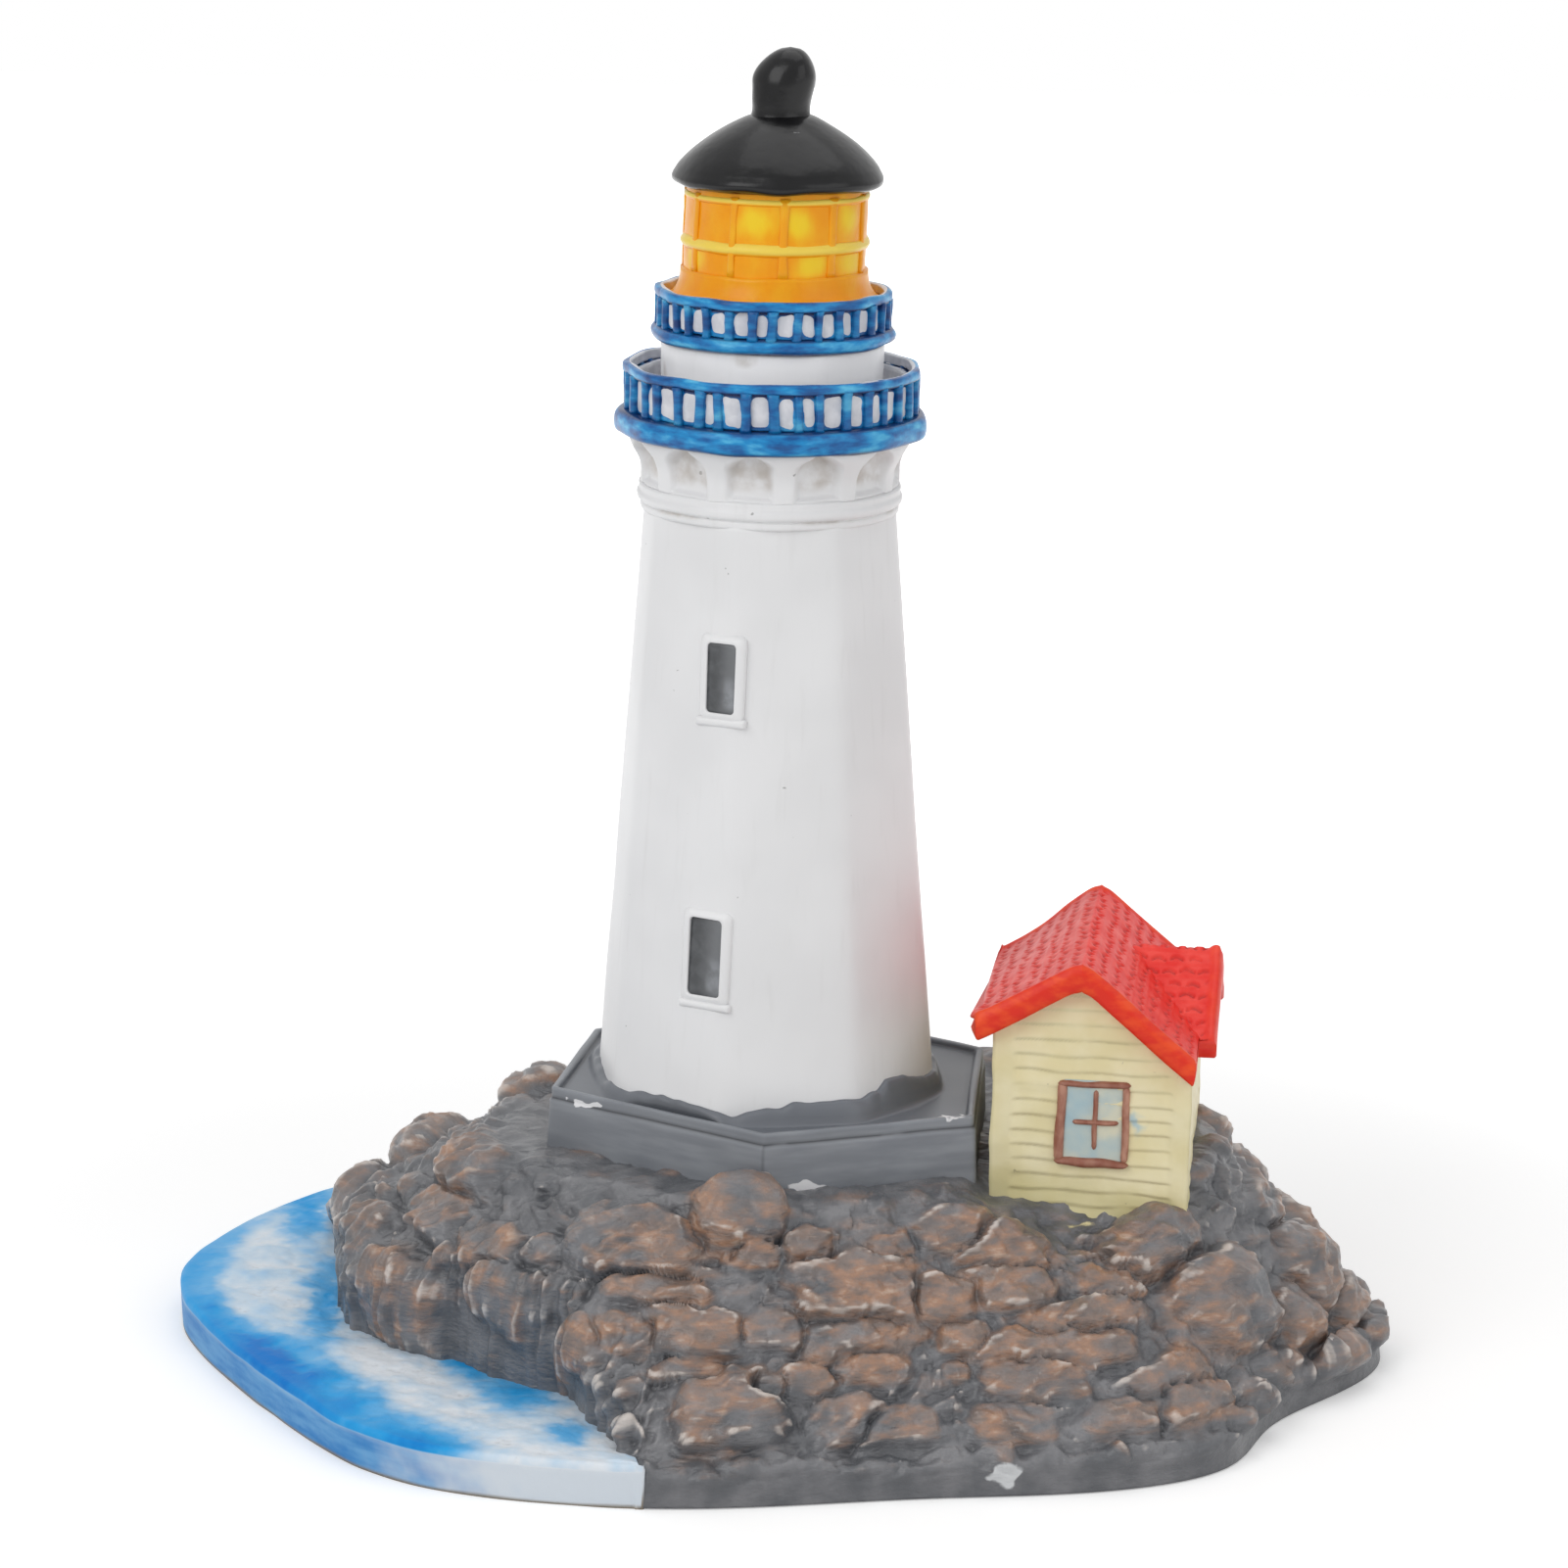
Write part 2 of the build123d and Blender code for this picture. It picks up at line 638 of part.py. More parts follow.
with BuildPart() as cottage_walls:
    course_count = int((cottage_ridge_rise - corner_board_proud) / clapboard_pitch) + 1
    for course in range(course_count):
        with BuildSketch(cottage_plan.offset(course * clapboard_pitch)):
            with Locations((cottage_width / 2, cottage_depth / 2)):
                Rectangle(cottage_width, cottage_depth)
        extrude(amount=clapboard_pitch, taper=degrees(atan2(clapboard_lap, clapboard_pitch)))
    with BuildSketch(cottage_plan):
        with Locations((cottage_width / 2, cottage_depth / 2)):
            with GridLocations(cottage_width - corner_board_width, cottage_depth - corner_board_width, 2, 2):
                Rectangle(corner_board_width + 2 * corner_board_proud, corner_board_width + 2 * corner_board_proud)
    extrude(amount=cottage_ridge_rise)
    add(roofed_space.part, mode=Mode.INTERSECT)
    with BuildSketch(cottage_front.offset(corner_board_proud)):
        with Locations((cottage_window_x, cottage_window_rise)):
            Rectangle(cottage_window_width, cottage_window_height)
    extrude(amount=-window_sunk - corner_board_proud, mode=Mode.SUBTRACT)
save(cottage_walls, "cottage_walls")

with BuildPart() as wing_roof:
    with BuildSketch(cottage_side.offset(cottage_ridge_x)):
        Polygon(*roof_section(wing_outline[0], wing_outline[2], wing_outline[1]), align=None)
    extrude(amount=cottage_width - cottage_ridge_x + wing_overhang)
    add(house_space.part, mode=Mode.SUBTRACT)
save(wing_roof, "cottage_wing_roof")

with BuildPart() as cottage_roof:
    with BuildSketch(cottage_front.offset(verge_overhang)):
        Polygon(*roof_section(house_outline[4], house_outline[3], house_outline[2]), align=None)
    extrude(amount=-cottage_depth - 2 * verge_overhang)
    add([wing_space.part, wing_roof.part], mode=Mode.SUBTRACT)
save(cottage_roof, "cottage_roof")

with BuildPart() as cottage_window_frame:
    light_width = (cottage_window_width - 2 * cottage_window_border - cottage_window_bar) / 2
    light_height = (cottage_window_height - 2 * cottage_window_border - cottage_window_bar) / 2
    frame_back = cottage_front.offset(pane_thickness - window_sunk)
    with BuildSketch(frame_back):
        with Locations((cottage_window_x, cottage_window_rise)):
            Rectangle(cottage_window_width, cottage_window_height)
            with GridLocations(light_width + cottage_window_bar, light_height + cottage_window_bar, 2, 2):
                Rectangle(light_width, light_height, mode=Mode.SUBTRACT)
    extrude(amount=window_sunk - pane_thickness + window_proud)
    with BuildSketch(cottage_front.offset(corner_board_proud)):
        sill_rise = cottage_window_rise - cottage_window_height / 2 + cottage_sill_height / 2
        with Locations((cottage_window_x, sill_rise)):
            Rectangle(cottage_window_width + 2 * cottage_sill_overhang, cottage_sill_height)
    extrude(amount=cottage_sill_overhang)
save(cottage_window_frame, "cottage_window_frame")

with BuildPart() as cottage_window_panes:
    with BuildSketch(cottage_front.offset(-window_sunk)):
        with Locations((cottage_window_x, cottage_window_rise)):
            Rectangle(cottage_window_width, cottage_window_height)
    extrude(amount=pane_thickness)
save(cottage_window_panes, "cottage_window_panes")
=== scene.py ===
# %% [markdown]
# # A lighthouse ornament, cast and painted by hand
# The ornament is a small resin casting: a white tower with two blue galleries, an orange lantern and a black roof,
# on a rock island with a cottage and a strip of sea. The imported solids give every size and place. This lesson dresses
# them with surfaces worked out in numpy, a little uneven, as a hand-made master is, and paints them with shader nodes.

import bpy
import numpy as np
from mathutils import Matrix, Vector


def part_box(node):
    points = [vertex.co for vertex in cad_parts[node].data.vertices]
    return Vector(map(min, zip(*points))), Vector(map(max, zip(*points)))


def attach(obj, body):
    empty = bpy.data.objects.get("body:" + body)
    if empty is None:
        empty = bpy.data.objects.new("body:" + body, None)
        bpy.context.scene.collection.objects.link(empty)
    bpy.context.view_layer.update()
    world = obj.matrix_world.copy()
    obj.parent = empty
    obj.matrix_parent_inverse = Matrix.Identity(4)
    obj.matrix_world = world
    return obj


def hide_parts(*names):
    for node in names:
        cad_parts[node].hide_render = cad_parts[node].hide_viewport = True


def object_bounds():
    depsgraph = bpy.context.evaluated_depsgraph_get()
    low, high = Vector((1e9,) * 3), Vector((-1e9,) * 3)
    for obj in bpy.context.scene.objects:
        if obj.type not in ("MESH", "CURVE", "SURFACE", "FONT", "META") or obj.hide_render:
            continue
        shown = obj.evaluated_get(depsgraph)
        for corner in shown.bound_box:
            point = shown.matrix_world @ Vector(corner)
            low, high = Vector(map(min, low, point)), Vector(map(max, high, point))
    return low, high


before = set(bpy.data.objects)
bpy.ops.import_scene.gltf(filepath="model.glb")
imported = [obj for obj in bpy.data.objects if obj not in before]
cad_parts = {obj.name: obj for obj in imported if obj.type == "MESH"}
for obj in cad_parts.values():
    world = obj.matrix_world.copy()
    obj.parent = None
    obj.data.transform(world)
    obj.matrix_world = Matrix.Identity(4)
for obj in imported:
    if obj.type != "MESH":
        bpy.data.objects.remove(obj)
cad_low, cad_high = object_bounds()
MM = 0.001
TURN = 2 * np.pi
print("nodes", len(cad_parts))

# %% [markdown]
# ## Camera
# The photograph was taken from a little above, with a long lens. A ring seen from above is an ellipse, so the rings of
# the tower give the tilt, and the widths near the foot and the head give the distance. The camera could be turned with
# Euler angles, but three axis vectors in a matrix say plainly where it looks and how it is rolled.

# %% Camera
camera_distance = 520.9
camera_height = 196.0
camera_tilt, camera_roll, camera_yaw = np.radians((13.97, 1.126, 0.169))
focal_pixels = 4800
frame_pixels = 1601
sensor_width = 36.0

forward = np.array([np.sin(camera_yaw) * np.cos(camera_tilt), np.cos(camera_yaw) * np.cos(camera_tilt),
                    -np.sin(camera_tilt)])
level_right = np.array([np.cos(camera_yaw), -np.sin(camera_yaw), 0.0])
level_up = np.cross(level_right, forward)
camera_pose = np.eye(4)
camera_pose[:3, 0] = level_right * np.cos(camera_roll) + level_up * np.sin(camera_roll)
camera_pose[:3, 1] = level_up * np.cos(camera_roll) - level_right * np.sin(camera_roll)
camera_pose[:3, 2] = -forward
camera_pose[:3, 3] = np.array([0.0, -camera_distance, camera_height]) * MM
camera = bpy.data.objects.new("camera", bpy.data.cameras.new("camera"))
camera.data.sensor_width = sensor_width
camera.data.lens = focal_pixels / frame_pixels * sensor_width
camera.data.clip_start = 0.01
camera.matrix_world = Matrix(camera_pose.tolist())
bpy.context.scene.collection.objects.link(camera)
bpy.context.scene.camera = camera
print("lens", round(camera.data.lens, 2), "mm")

# %% [markdown]
# ## Shader helpers
# A material is a tree of nodes. Written out one link at a time it is hard to read, so one function adds a node, sets
# its plain values and links the sockets it is given. Grain sizes are given in millimetres on the piece's own
# coordinates, so that a pattern keeps its real scale on every piece.


# %% Shader helpers
def rgb(red, green, blue):
    """Colour as seen on a screen, 0 to 255, turned into the linear values that shaders use."""
    share = np.array([red, green, blue]) / 255
    linear = np.where(share <= 0.04045, share / 12.92, ((share + 0.055) / 1.055) ** 2.4)
    return (*linear.tolist(), 1.0)


def feed(tree, socket, value):
    """Link a socket to another one, or set it to a plain value."""
    if isinstance(value, bpy.types.NodeSocket):
        tree.links.new(value, socket)
    else:
        socket.default_value = value


def node(tree, kind, settings=None, **inputs):
    """Add a shader node with its settings and feed its inputs."""
    made = tree.nodes.new("ShaderNode" + kind)
    for name, value in (settings or {}).items():
        setattr(made, name, value)
    for name, value in inputs.items():
        feed(tree, made.inputs[name.replace("_", " ")], value)
    return made


def grain(tree, size, detail=3.0, stretch=(1, 1, 1), shift=0.0):
    """Noise with lumps of a given size in millimetres, made longer along an axis by stretch."""
    place = node(tree, "TexCoord").outputs["Object"]
    scale = [1 / (size * MM * share) for share in stretch]
    mapped = node(tree, "Mapping", Vector=place, Location=(shift, shift, shift), Scale=scale)
    return node(tree, "TexNoise", Vector=mapped.outputs[0], Scale=1.0, Detail=detail).outputs[0]


def mark(tree, name):
    """A value that was worked out at each point of the piece."""
    return node(tree, "Attribute", {"attribute_name": name}).outputs["Fac"]


def between(tree, value, low, high):
    """0 below low, 1 above high and eased between them."""
    settings = {"interpolation_type": "SMOOTHSTEP"}
    return node(tree, "MapRange", settings, Value=value, From_Min=low, From_Max=high).outputs[0]


def combine(tree, operation, first, second):
    """Arithmetic on two values."""
    made = node(tree, "Math", {"operation": operation})
    for socket, value in zip(made.inputs, (first, second)):
        feed(tree, socket, value)
    return made.outputs[0]


def thin(tree, share, amount):
    """A share of paint times a plain number."""
    return combine(tree, "MULTIPLY", share, amount)


# %% Paint helpers
def layer(tree, share, below, above):
    """One paint over another, by a share from 0 to 1."""
    made = node(tree, "Mix", {"data_type": "RGBA"})
    for socket, value in zip((made.inputs[0], made.inputs[6], made.inputs[7]), (share, below, above)):
        feed(tree, socket, value)
    return made.outputs[2]


def steps(tree, value, stops):
    """Colours along a value, each stop a position and a colour."""
    made = node(tree, "ValToRGB", Fac=value)
    ramp = made.color_ramp.elements
    while len(ramp) < len(stops):
        ramp.new(0.5)
    for element, (position, colour) in zip(ramp, stops):
        element.position = position
        element.color = colour
    return made.outputs[0]


def paint(name):
    """A new material with one principled shader."""
    material = bpy.data.materials.new(name)
    material.use_nodes = True
    tree = material.node_tree
    print("paint", name)
    return material, tree, tree.nodes["Principled BSDF"]


def coat(tree, shader, colour, roughness, relief, relief_height, strength, mirror=0.5):
    """Connect a colour, a roughness and a relief, whose height is in millimetres. Mirror is how strongly the paint
    reflects."""
    feed(tree, shader.inputs["Base Color"], colour)
    feed(tree, shader.inputs["Roughness"], roughness)
    bump = node(tree, "Bump", Height=relief, Strength=strength, Distance=relief_height * MM)
    feed(tree, shader.inputs["Normal"], bump.outputs[0])
    shader.inputs["Specular IOR Level"].default_value = mirror


# %% [markdown]
# ## Light and floor
# The photograph has flat, soft light, a little stronger from the left, and a white ground. The world gives the even
# light, a large lamp on the left gives the direction, and a weaker one on the right opens the shadows. Camera and
# mirror rays see plain white instead of the world, and the floor keeps the shadow under the casting.

# %% Light and floor
world_light = 0.48
floor_light = 0.24
floor_size = 3.0
floor_fade = (0.09, 0.30)
lamp_target = Vector((0.0, 0.0, 0.06))
# A lamp: its place and its size in metres, and its power in watts.
lamps = {
    "key_lamp": ((-0.42, -0.46, 0.50), 0.50, 2.0),
    "fill_lamp": ((0.52, -0.36, 0.34), 0.50, 0.75),
    "top_lamp": ((0.05, 0.10, 0.75), 0.60, 1.15),
}


def seen_directly(tree):
    """1 for rays from the camera, from mirrors and through glass."""
    path = node(tree, "LightPath").outputs
    shiny = combine(tree, "MAXIMUM", path["Is Glossy Ray"], path["Is Transmission Ray"])
    return combine(tree, "MAXIMUM", path["Is Camera Ray"], shiny)


world = bpy.data.worlds.new("studio")
bpy.context.scene.world = world
world.use_nodes = True
background = world.node_tree.nodes["Background"]
background.inputs["Color"].default_value = (1, 1, 1, 1)
seen = seen_directly(world.node_tree)
white_or_light = node(world.node_tree, "MapRange", Value=seen, To_Min=world_light, To_Max=1.0)
world.node_tree.links.new(white_or_light.outputs[0], background.inputs["Strength"])

for name, (place, size, power) in lamps.items():
    lamp = bpy.data.objects.new(name, bpy.data.lights.new(name, "AREA"))
    lamp.data.size = size
    lamp.data.energy = power
    away = Vector(place) - lamp_target
    lamp.matrix_world = Matrix.Translation(place) @ away.to_track_quat("Z", "Y").to_matrix().to_4x4()
    bpy.context.scene.collection.objects.link(lamp)

floor_material, floor_tree, floor_shader = paint("floor_white")
floor_shader.inputs["Base Color"].default_value = (0.9, 0.9, 0.9, 1)
floor_shader.inputs["Roughness"].default_value = 1.0
floor_shader.inputs["Specular IOR Level"].default_value = 0.0
floor_shader.inputs["Emission Color"].default_value = (1, 1, 1, 1)
floor_place = node(floor_tree, "TexCoord").outputs["Object"]
floor_distance = node(floor_tree, "VectorMath", {"operation": "LENGTH"}, Vector=floor_place).outputs["Value"]
floor_far = between(floor_tree, floor_distance, *floor_fade)
floor_glow = node(floor_tree, "MapRange", Value=floor_far, To_Min=floor_light, To_Max=1.0).outputs[0]
floor_glow = combine(floor_tree, "MULTIPLY", seen_directly(floor_tree), floor_glow)
floor_tree.links.new(floor_glow, floor_shader.inputs["Emission Strength"])
corners = np.array([(-1, -1, 0), (1, -1, 0), (1, 1, 0), (-1, 1, 0)]) * floor_size / 2
floor_mesh = bpy.data.meshes.new("floor")
floor_mesh.from_pydata(corners.tolist(), [], [(0, 1, 2, 3)])
floor_mesh.materials.append(floor_material)
floor = bpy.data.objects.new("floor", floor_mesh)
bpy.context.scene.collection.objects.link(floor)
bpy.context.scene.view_settings.view_transform = "Standard"
print("lamps", list(lamps))

# %% [markdown]
# ## Surfaces from grids
# Every new piece is a grid of points worked out by a formula: rows one way, columns the other. A noise modifier could
# roughen it, but fields worked out on the points give the same unevenness on every run, and the paint can use them
# too. Whole arrays do the work, so a piece of a hundred thousand points takes a moment.

# %% Uneven fields
LATTICE = 32


def span(name):
    """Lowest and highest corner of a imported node, in millimetres."""
    low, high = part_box(name)
    return np.array(low) / MM, np.array(high) / MM


def lattice_noise(points, cell, seed):
    """Smooth random field from -1 to 1: random values on the corners of a cubic lattice, eased between corners."""
    table = np.random.default_rng(seed).uniform(-1, 1, (LATTICE, LATTICE, LATTICE))
    scaled = points / cell
    corner = np.floor(scaled).astype(int)
    part = scaled - corner
    blend = part * part * (3 - 2 * part)
    total = np.zeros(points.shape[:-1])
    for step in np.ndindex(2, 2, 2):
        index = (corner + step) % LATTICE
        share = np.where(np.array(step) == 1, blend, 1 - blend).prod(axis=-1)
        total += share * table[index[..., 0], index[..., 1], index[..., 2]]
    return total


def layered_noise(points, cell, seed, layers=3):
    """Sum of smooth fields, each half the size and half the strength of the one before."""
    return sum(lattice_noise(points, cell / 2**turn, seed + turn) / 2**turn for turn in range(layers))


def cell_noise(points, cell, seed):
    """Random cells: how much nearer the nearest of scattered points is than the next, and a value of the nearest."""
    rng = np.random.default_rng(seed)
    scatter = rng.uniform(0, 1, (LATTICE, LATTICE, LATTICE, 3))
    table = rng.uniform(-1, 1, (LATTICE, LATTICE, LATTICE))
    scaled = points / cell
    corner = np.floor(scaled).astype(int)
    first = np.full(points.shape[:-1], 9.0)
    second, value = first.copy(), np.zeros(points.shape[:-1])
    for step in np.ndindex(3, 3, 3):
        index = corner + step - 1
        x, y, z = np.moveaxis(index % LATTICE, -1, 0)
        distance = np.linalg.norm(index + scatter[x, y, z] - scaled, axis=-1)
        second = np.where(distance < first, first, np.minimum(second, distance))
        value = np.where(distance < first, table[x, y, z], value)
        first = np.minimum(first, distance)
    return second - first, value


def hand_cast(points, amount, cell, seed):
    """Unevenness of a hand-made master: each point is shifted by three smooth random fields."""
    return points + amount * np.stack([lattice_noise(points, cell, seed + axis) for axis in range(3)], axis=-1)


def ease(value, low, high):
    """0 below low, 1 above high and a smooth curve between them."""
    share = np.clip((value - low) / (high - low), 0, 1)
    return share * share * (3 - 2 * share)


# %% [markdown]
# ## Shells and pieces
# A spun or lofted mesh is open or has doubled seams until it is cleaned. Here the faces are counted out from the grid,
# so the seam is closed from the start. Fans close the ends, and each shell is turned outwards. A piece is one or more
# shells with the values that its paint needs at each point.


# %% Shells
def shell(points, over=False, **marks):
    """Closed surface from a grid (rows, columns, 3) whose columns run round. Fans close the first and last row,
    unless over joins the rows round as well. Marks are values at the grid's points."""
    rows, columns = points.shape[:2]
    index = np.arange(rows * columns).reshape(rows, columns)
    index = np.concatenate([index, index[:, :1]], axis=1)
    if over:
        index = np.concatenate([index, index[:1]], axis=0)
    quads = np.stack([index[:-1, :-1], index[:-1, 1:], index[1:, 1:], index[1:, :-1]], axis=-1).reshape(-1, 4)
    vertices = points.reshape(-1, 3)
    values = {name: np.broadcast_to(value, (rows, columns)) for name, value in marks.items()}
    flat = {name: value.reshape(-1) for name, value in values.items()}
    triangles = np.zeros((0, 3), int)
    if not over:
        first, last = index[0], index[-1]
        low, high = rows * columns, rows * columns + 1
        triangles = np.concatenate([
            np.stack([np.full(columns, low), first[1:], first[:-1]], axis=-1),
            np.stack([np.full(columns, high), last[:-1], last[1:]], axis=-1),
        ])
        vertices = np.concatenate([vertices, points[[0, -1]].mean(axis=1)])
        flat = {name: np.concatenate([flat[name], values[name][[0, -1]].mean(axis=1)]) for name in flat}
    return {"vertices": vertices, "quads": quads, "triangles": triangles, "marks": flat}


def outward(part):
    """The same shell with its faces turned outwards: the volume under its faces has to be positive."""
    quads, triangles = part["quads"], part["triangles"]
    corners = np.concatenate([quads[:, [0, 1, 2]], quads[:, [0, 2, 3]], triangles])
    a, b, c = (part["vertices"][corners[:, side]] for side in range(3))
    if (np.cross(a, b) * c).sum() < 0:
        part = dict(part, quads=quads[:, ::-1], triangles=triangles[:, ::-1])
    return part


# %% Pieces
def make_piece(name, shells, material, replaces):
    """Join shells into one smooth mesh, in metres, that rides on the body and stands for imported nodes."""
    shells = [outward(part) for part in shells]
    firsts = np.cumsum([0] + [len(part["vertices"]) for part in shells])
    vertices = np.concatenate([part["vertices"] for part in shells]) * MM
    quads = np.concatenate([part["quads"] + first for part, first in zip(shells, firsts)])
    triangles = np.concatenate([part["triangles"] + first for part, first in zip(shells, firsts)])
    loops = np.concatenate([quads.reshape(-1), triangles.reshape(-1)])
    totals = np.concatenate([np.full(len(quads), 4), np.full(len(triangles), 3)])
    mesh = bpy.data.meshes.new(name)
    mesh.vertices.add(len(vertices))
    mesh.vertices.foreach_set("co", vertices.reshape(-1))
    mesh.loops.add(len(loops))
    mesh.loops.foreach_set("vertex_index", loops)
    mesh.polygons.add(len(totals))
    mesh.polygons.foreach_set("loop_start", np.cumsum(totals) - totals)
    mesh.polygons.foreach_set("use_smooth", np.ones(len(totals), bool))
    mesh.update(calc_edges=True)
    for label in shells[0]["marks"]:
        values = np.concatenate([part["marks"][label] for part in shells])
        mesh.attributes.new(label, "FLOAT", "POINT").data.foreach_set("value", values.astype(np.float32))
    mesh.materials.append(material)
    piece = bpy.data.objects.new(name, mesh)
    bpy.context.scene.collection.objects.link(piece)
    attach(piece, "root")
    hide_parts(*replaces)
    print(name, len(quads) * 2 + len(triangles), "triangles")
    return piece


# %% [markdown]
# ## Turned forms
# Most of the tower is round, so it could be made by spinning a profile. Here the profile is an array of radius and
# height, and the azimuth is counted from the front to the right. A soft polygon can scale the radius, because the
# shaft has eight facets and the rails were filed a little flat. The whole head of the casting leans to the left.

# %% Turned forms
lean_levels = (32, 99, 118, 128, 136, 150)
lean_shifts = (0, -0.7, -0.68, -0.65, -0.4, -0.2)


def lean(points):
    """Shift each point sideways by an amount that depends on its height."""
    shift = np.interp(points[..., 2], lean_levels, lean_shifts)
    return points + shift[..., None] * np.array([1.0, 0.0, 0.0])


def round_corners(corners, radius, turns=5):
    """Outline of radius and height with its inner corners rounded: each is a curve from just before the corner to
    just after it, pulled towards the corner, over less than half of each side."""
    most = 0.45
    corners = np.array(corners, float)
    share = np.linspace(0, 1, turns)[:, None]
    rows = [corners[:1]]
    for before, corner, after in zip(corners[:-2], corners[1:-1], corners[2:]):
        back, on = before - corner, after - corner
        start = corner + back * min(radius / np.linalg.norm(back), most)
        end = corner + on * min(radius / np.linalg.norm(on), most)
        rows.append(start * (1 - share) ** 2 + corner * 2 * share * (1 - share) + end * share**2)
    return np.concatenate(rows + [corners[-1:]])


def soft_polygon(azimuth, sides, phase, sharpness):
    """Reach of a rounded polygon by azimuth, 1 at its corners: the cosines to all sides, as a high-power mean. The
    first corner is at the phase."""
    normals = phase + TURN / sides * (np.arange(sides) + 0.5)

    def reach(turn):
        facing = np.maximum(np.cos(turn[..., None] - normals), 0)
        return (facing**sharpness).sum(axis=-1) ** (-1 / sharpness)

    return reach(azimuth) / reach(np.array(phase))


def turned(profile, columns, shape=1.0):
    """Surface of revolution: radius r and height z at azimuth a are (r sin a, -r cos a, z). Shape scales r."""
    azimuth = np.linspace(0, TURN, columns, endpoint=False)
    radius = profile[:, :1] * shape * np.ones(columns)
    height = np.broadcast_to(profile[:, 1:], radius.shape)
    return np.stack([radius * np.sin(azimuth), -radius * np.cos(azimuth), height], axis=-1)


def polar(points):
    """Azimuth and radius of points."""
    return np.arctan2(points[..., 0], -points[..., 1]), np.hypot(points[..., 0], points[..., 1])


# %% [markdown]
# ## Places in the picture
# A chip in the paint or a pool of blue is easiest to place where it is seen. The camera above turns a point of the
# model into a place in the picture, so such a spot is set in pixels, and its edge is made ragged by a fine field.

# %% Places in the picture
ragged_across, ragged_down, ragged_cell = 9, 4, 1.6


def picture(points):
    """Place of points in the picture, in pixels: offsets from the camera along its axes, over the depth."""
    off = points - camera_pose[:3, 3] / MM
    depth = off @ forward
    across = frame_pixels / 2 + focal_pixels * (off @ camera_pose[:3, 0]) / depth
    return across, frame_pixels / 2 - focal_pixels * (off @ camera_pose[:3, 1]) / depth


def spots(points, places):
    """Ragged spots on the near side of a piece, each a picture position, half width, half height and strength."""
    across, down = picture(points)
    across = across + ragged_across * layered_noise(points, ragged_cell, 171)
    down = down + ragged_down * layered_noise(points, ragged_cell, 175)
    total = np.zeros(points.shape[:-1])
    for x, y, half_width, half_height, strength in places:
        total += strength * np.exp(-((across - x) / half_width) ** 2 - ((down - y) / half_height) ** 2)
    return total


# %% [markdown]
# ## White paint
# The tower is brushed with a semi-gloss white, thin enough for brush marks and a few specks of dust to show. Grey is
# painted into the recesses under the gallery and into the neck's groove as painted shade, and makes faint smudges on
# the watch room. The mark called wash says where.


# %% White paint
def white_paint(name, light):
    """White of a given lightness, with clouds, upright brush strokes, specks, and grey where the mark wash says:
    painted shade in recesses and faint smudges elsewhere.
    """
    material, tree, shader = paint(name)
    cloud = between(tree, grain(tree, 14, 2), 0.35, 0.7)
    base = layer(tree, cloud, rgb(light + 3, light + 3, light + 4), rgb(light - 3, light - 3, light - 2))
    strokes = between(tree, grain(tree, 1.2, 3, (1, 1, 9)), 0.55, 0.8)
    base = layer(tree, thin(tree, strokes, 0.18), base, rgb(205, 204, 203))
    speck = between(tree, grain(tree, 1.1, 1, shift=3.1), 0.80, 0.82)
    base = layer(tree, thin(tree, speck, 0.6), base, rgb(120, 118, 115))
    # Grey painted shade in the recesses and the neck's groove, and faint smudges on the watch room.
    wiped = combine(tree, "MULTIPLY", mark(tree, "wash"), between(tree, grain(tree, 2.2, 3), 0.2, 0.75))
    base = layer(tree, wiped, base, rgb(176, 166, 156))
    relief = combine(tree, "ADD", grain(tree, 0.9, 3, (1, 1, 4)), thin(tree, grain(tree, 6, 2), 1.5))
    coat(tree, shader, base, 0.42, relief, 0.12, 0.25)
    return material


tower_white = white_paint("tower_white", 229)
# The watch room gets a lighter white than the tower: painted light that makes up for the shade of the galleries.
room_white = white_paint("room_white", 248)

# %% [markdown]
# ## Tower shaft
# The shaft is a tapered octagon whose facets are so soft that only the light tells them. A loft between two rounded
# octagons would do. A formula for the radius at each azimuth and height is as short, and lets the wall swell a little.

# %% Tower shaft
shaft_low, shaft_high = span("tower_shaft")
neck_low, neck_high = span("neck_ring")
foot_z, shaft_top_z = shaft_low[2], shaft_high[2]
shaft_foot_radius = (shaft_high[0] - shaft_low[0]) / 2
neck_overhang = 0.62
shaft_top_radius = (neck_high[0] - neck_low[0]) / 2 - neck_overhang
facet_count, facet_phase, facet_sharpness = 8, np.radians(-14.5), 34
facet_share, shaft_swell = 0.65, 1.008


def shaft_radius(azimuth, height):
    """Radius of the shaft's wall: a straight taper times a soft octagon, mixed with a circle."""
    share = (height - foot_z) / (shaft_top_z - foot_z)
    straight = shaft_foot_radius + (shaft_top_radius - shaft_foot_radius) * share
    facets = soft_polygon(azimuth, facet_count, facet_phase, facet_sharpness)
    return straight * (1 - facet_share + facet_share * facets) * shaft_swell


def shaft_surface(columns=240, rows=90):
    """Wall of the shaft: radius by azimuth and height, carried up from the foot to the neck."""
    azimuth, height = np.meshgrid(
        np.linspace(0, TURN, columns, endpoint=False), np.linspace(foot_z, shaft_top_z, rows))
    radius = shaft_radius(azimuth, height)
    return np.stack([radius * np.sin(azimuth), -radius * np.cos(azimuth), height], axis=-1)


shaft_points = lean(hand_cast(shaft_surface(), 0.07, 9, 11))
make_piece("tower_wall", [shell(shaft_points, wash=0.0)], tower_white, ["tower_shaft"])

# %% [markdown]
# ## Tower windows
# Each window is a soft raised border with a sill, round a dark pane. Cutting and bevelling the wall would do. They are
# rounded rectangles, so here each piece is a stack of rings: every ring is a rounded rectangle with its own inset and
# its own height over the wall. The wall's own slope and turn at the window give the plane.


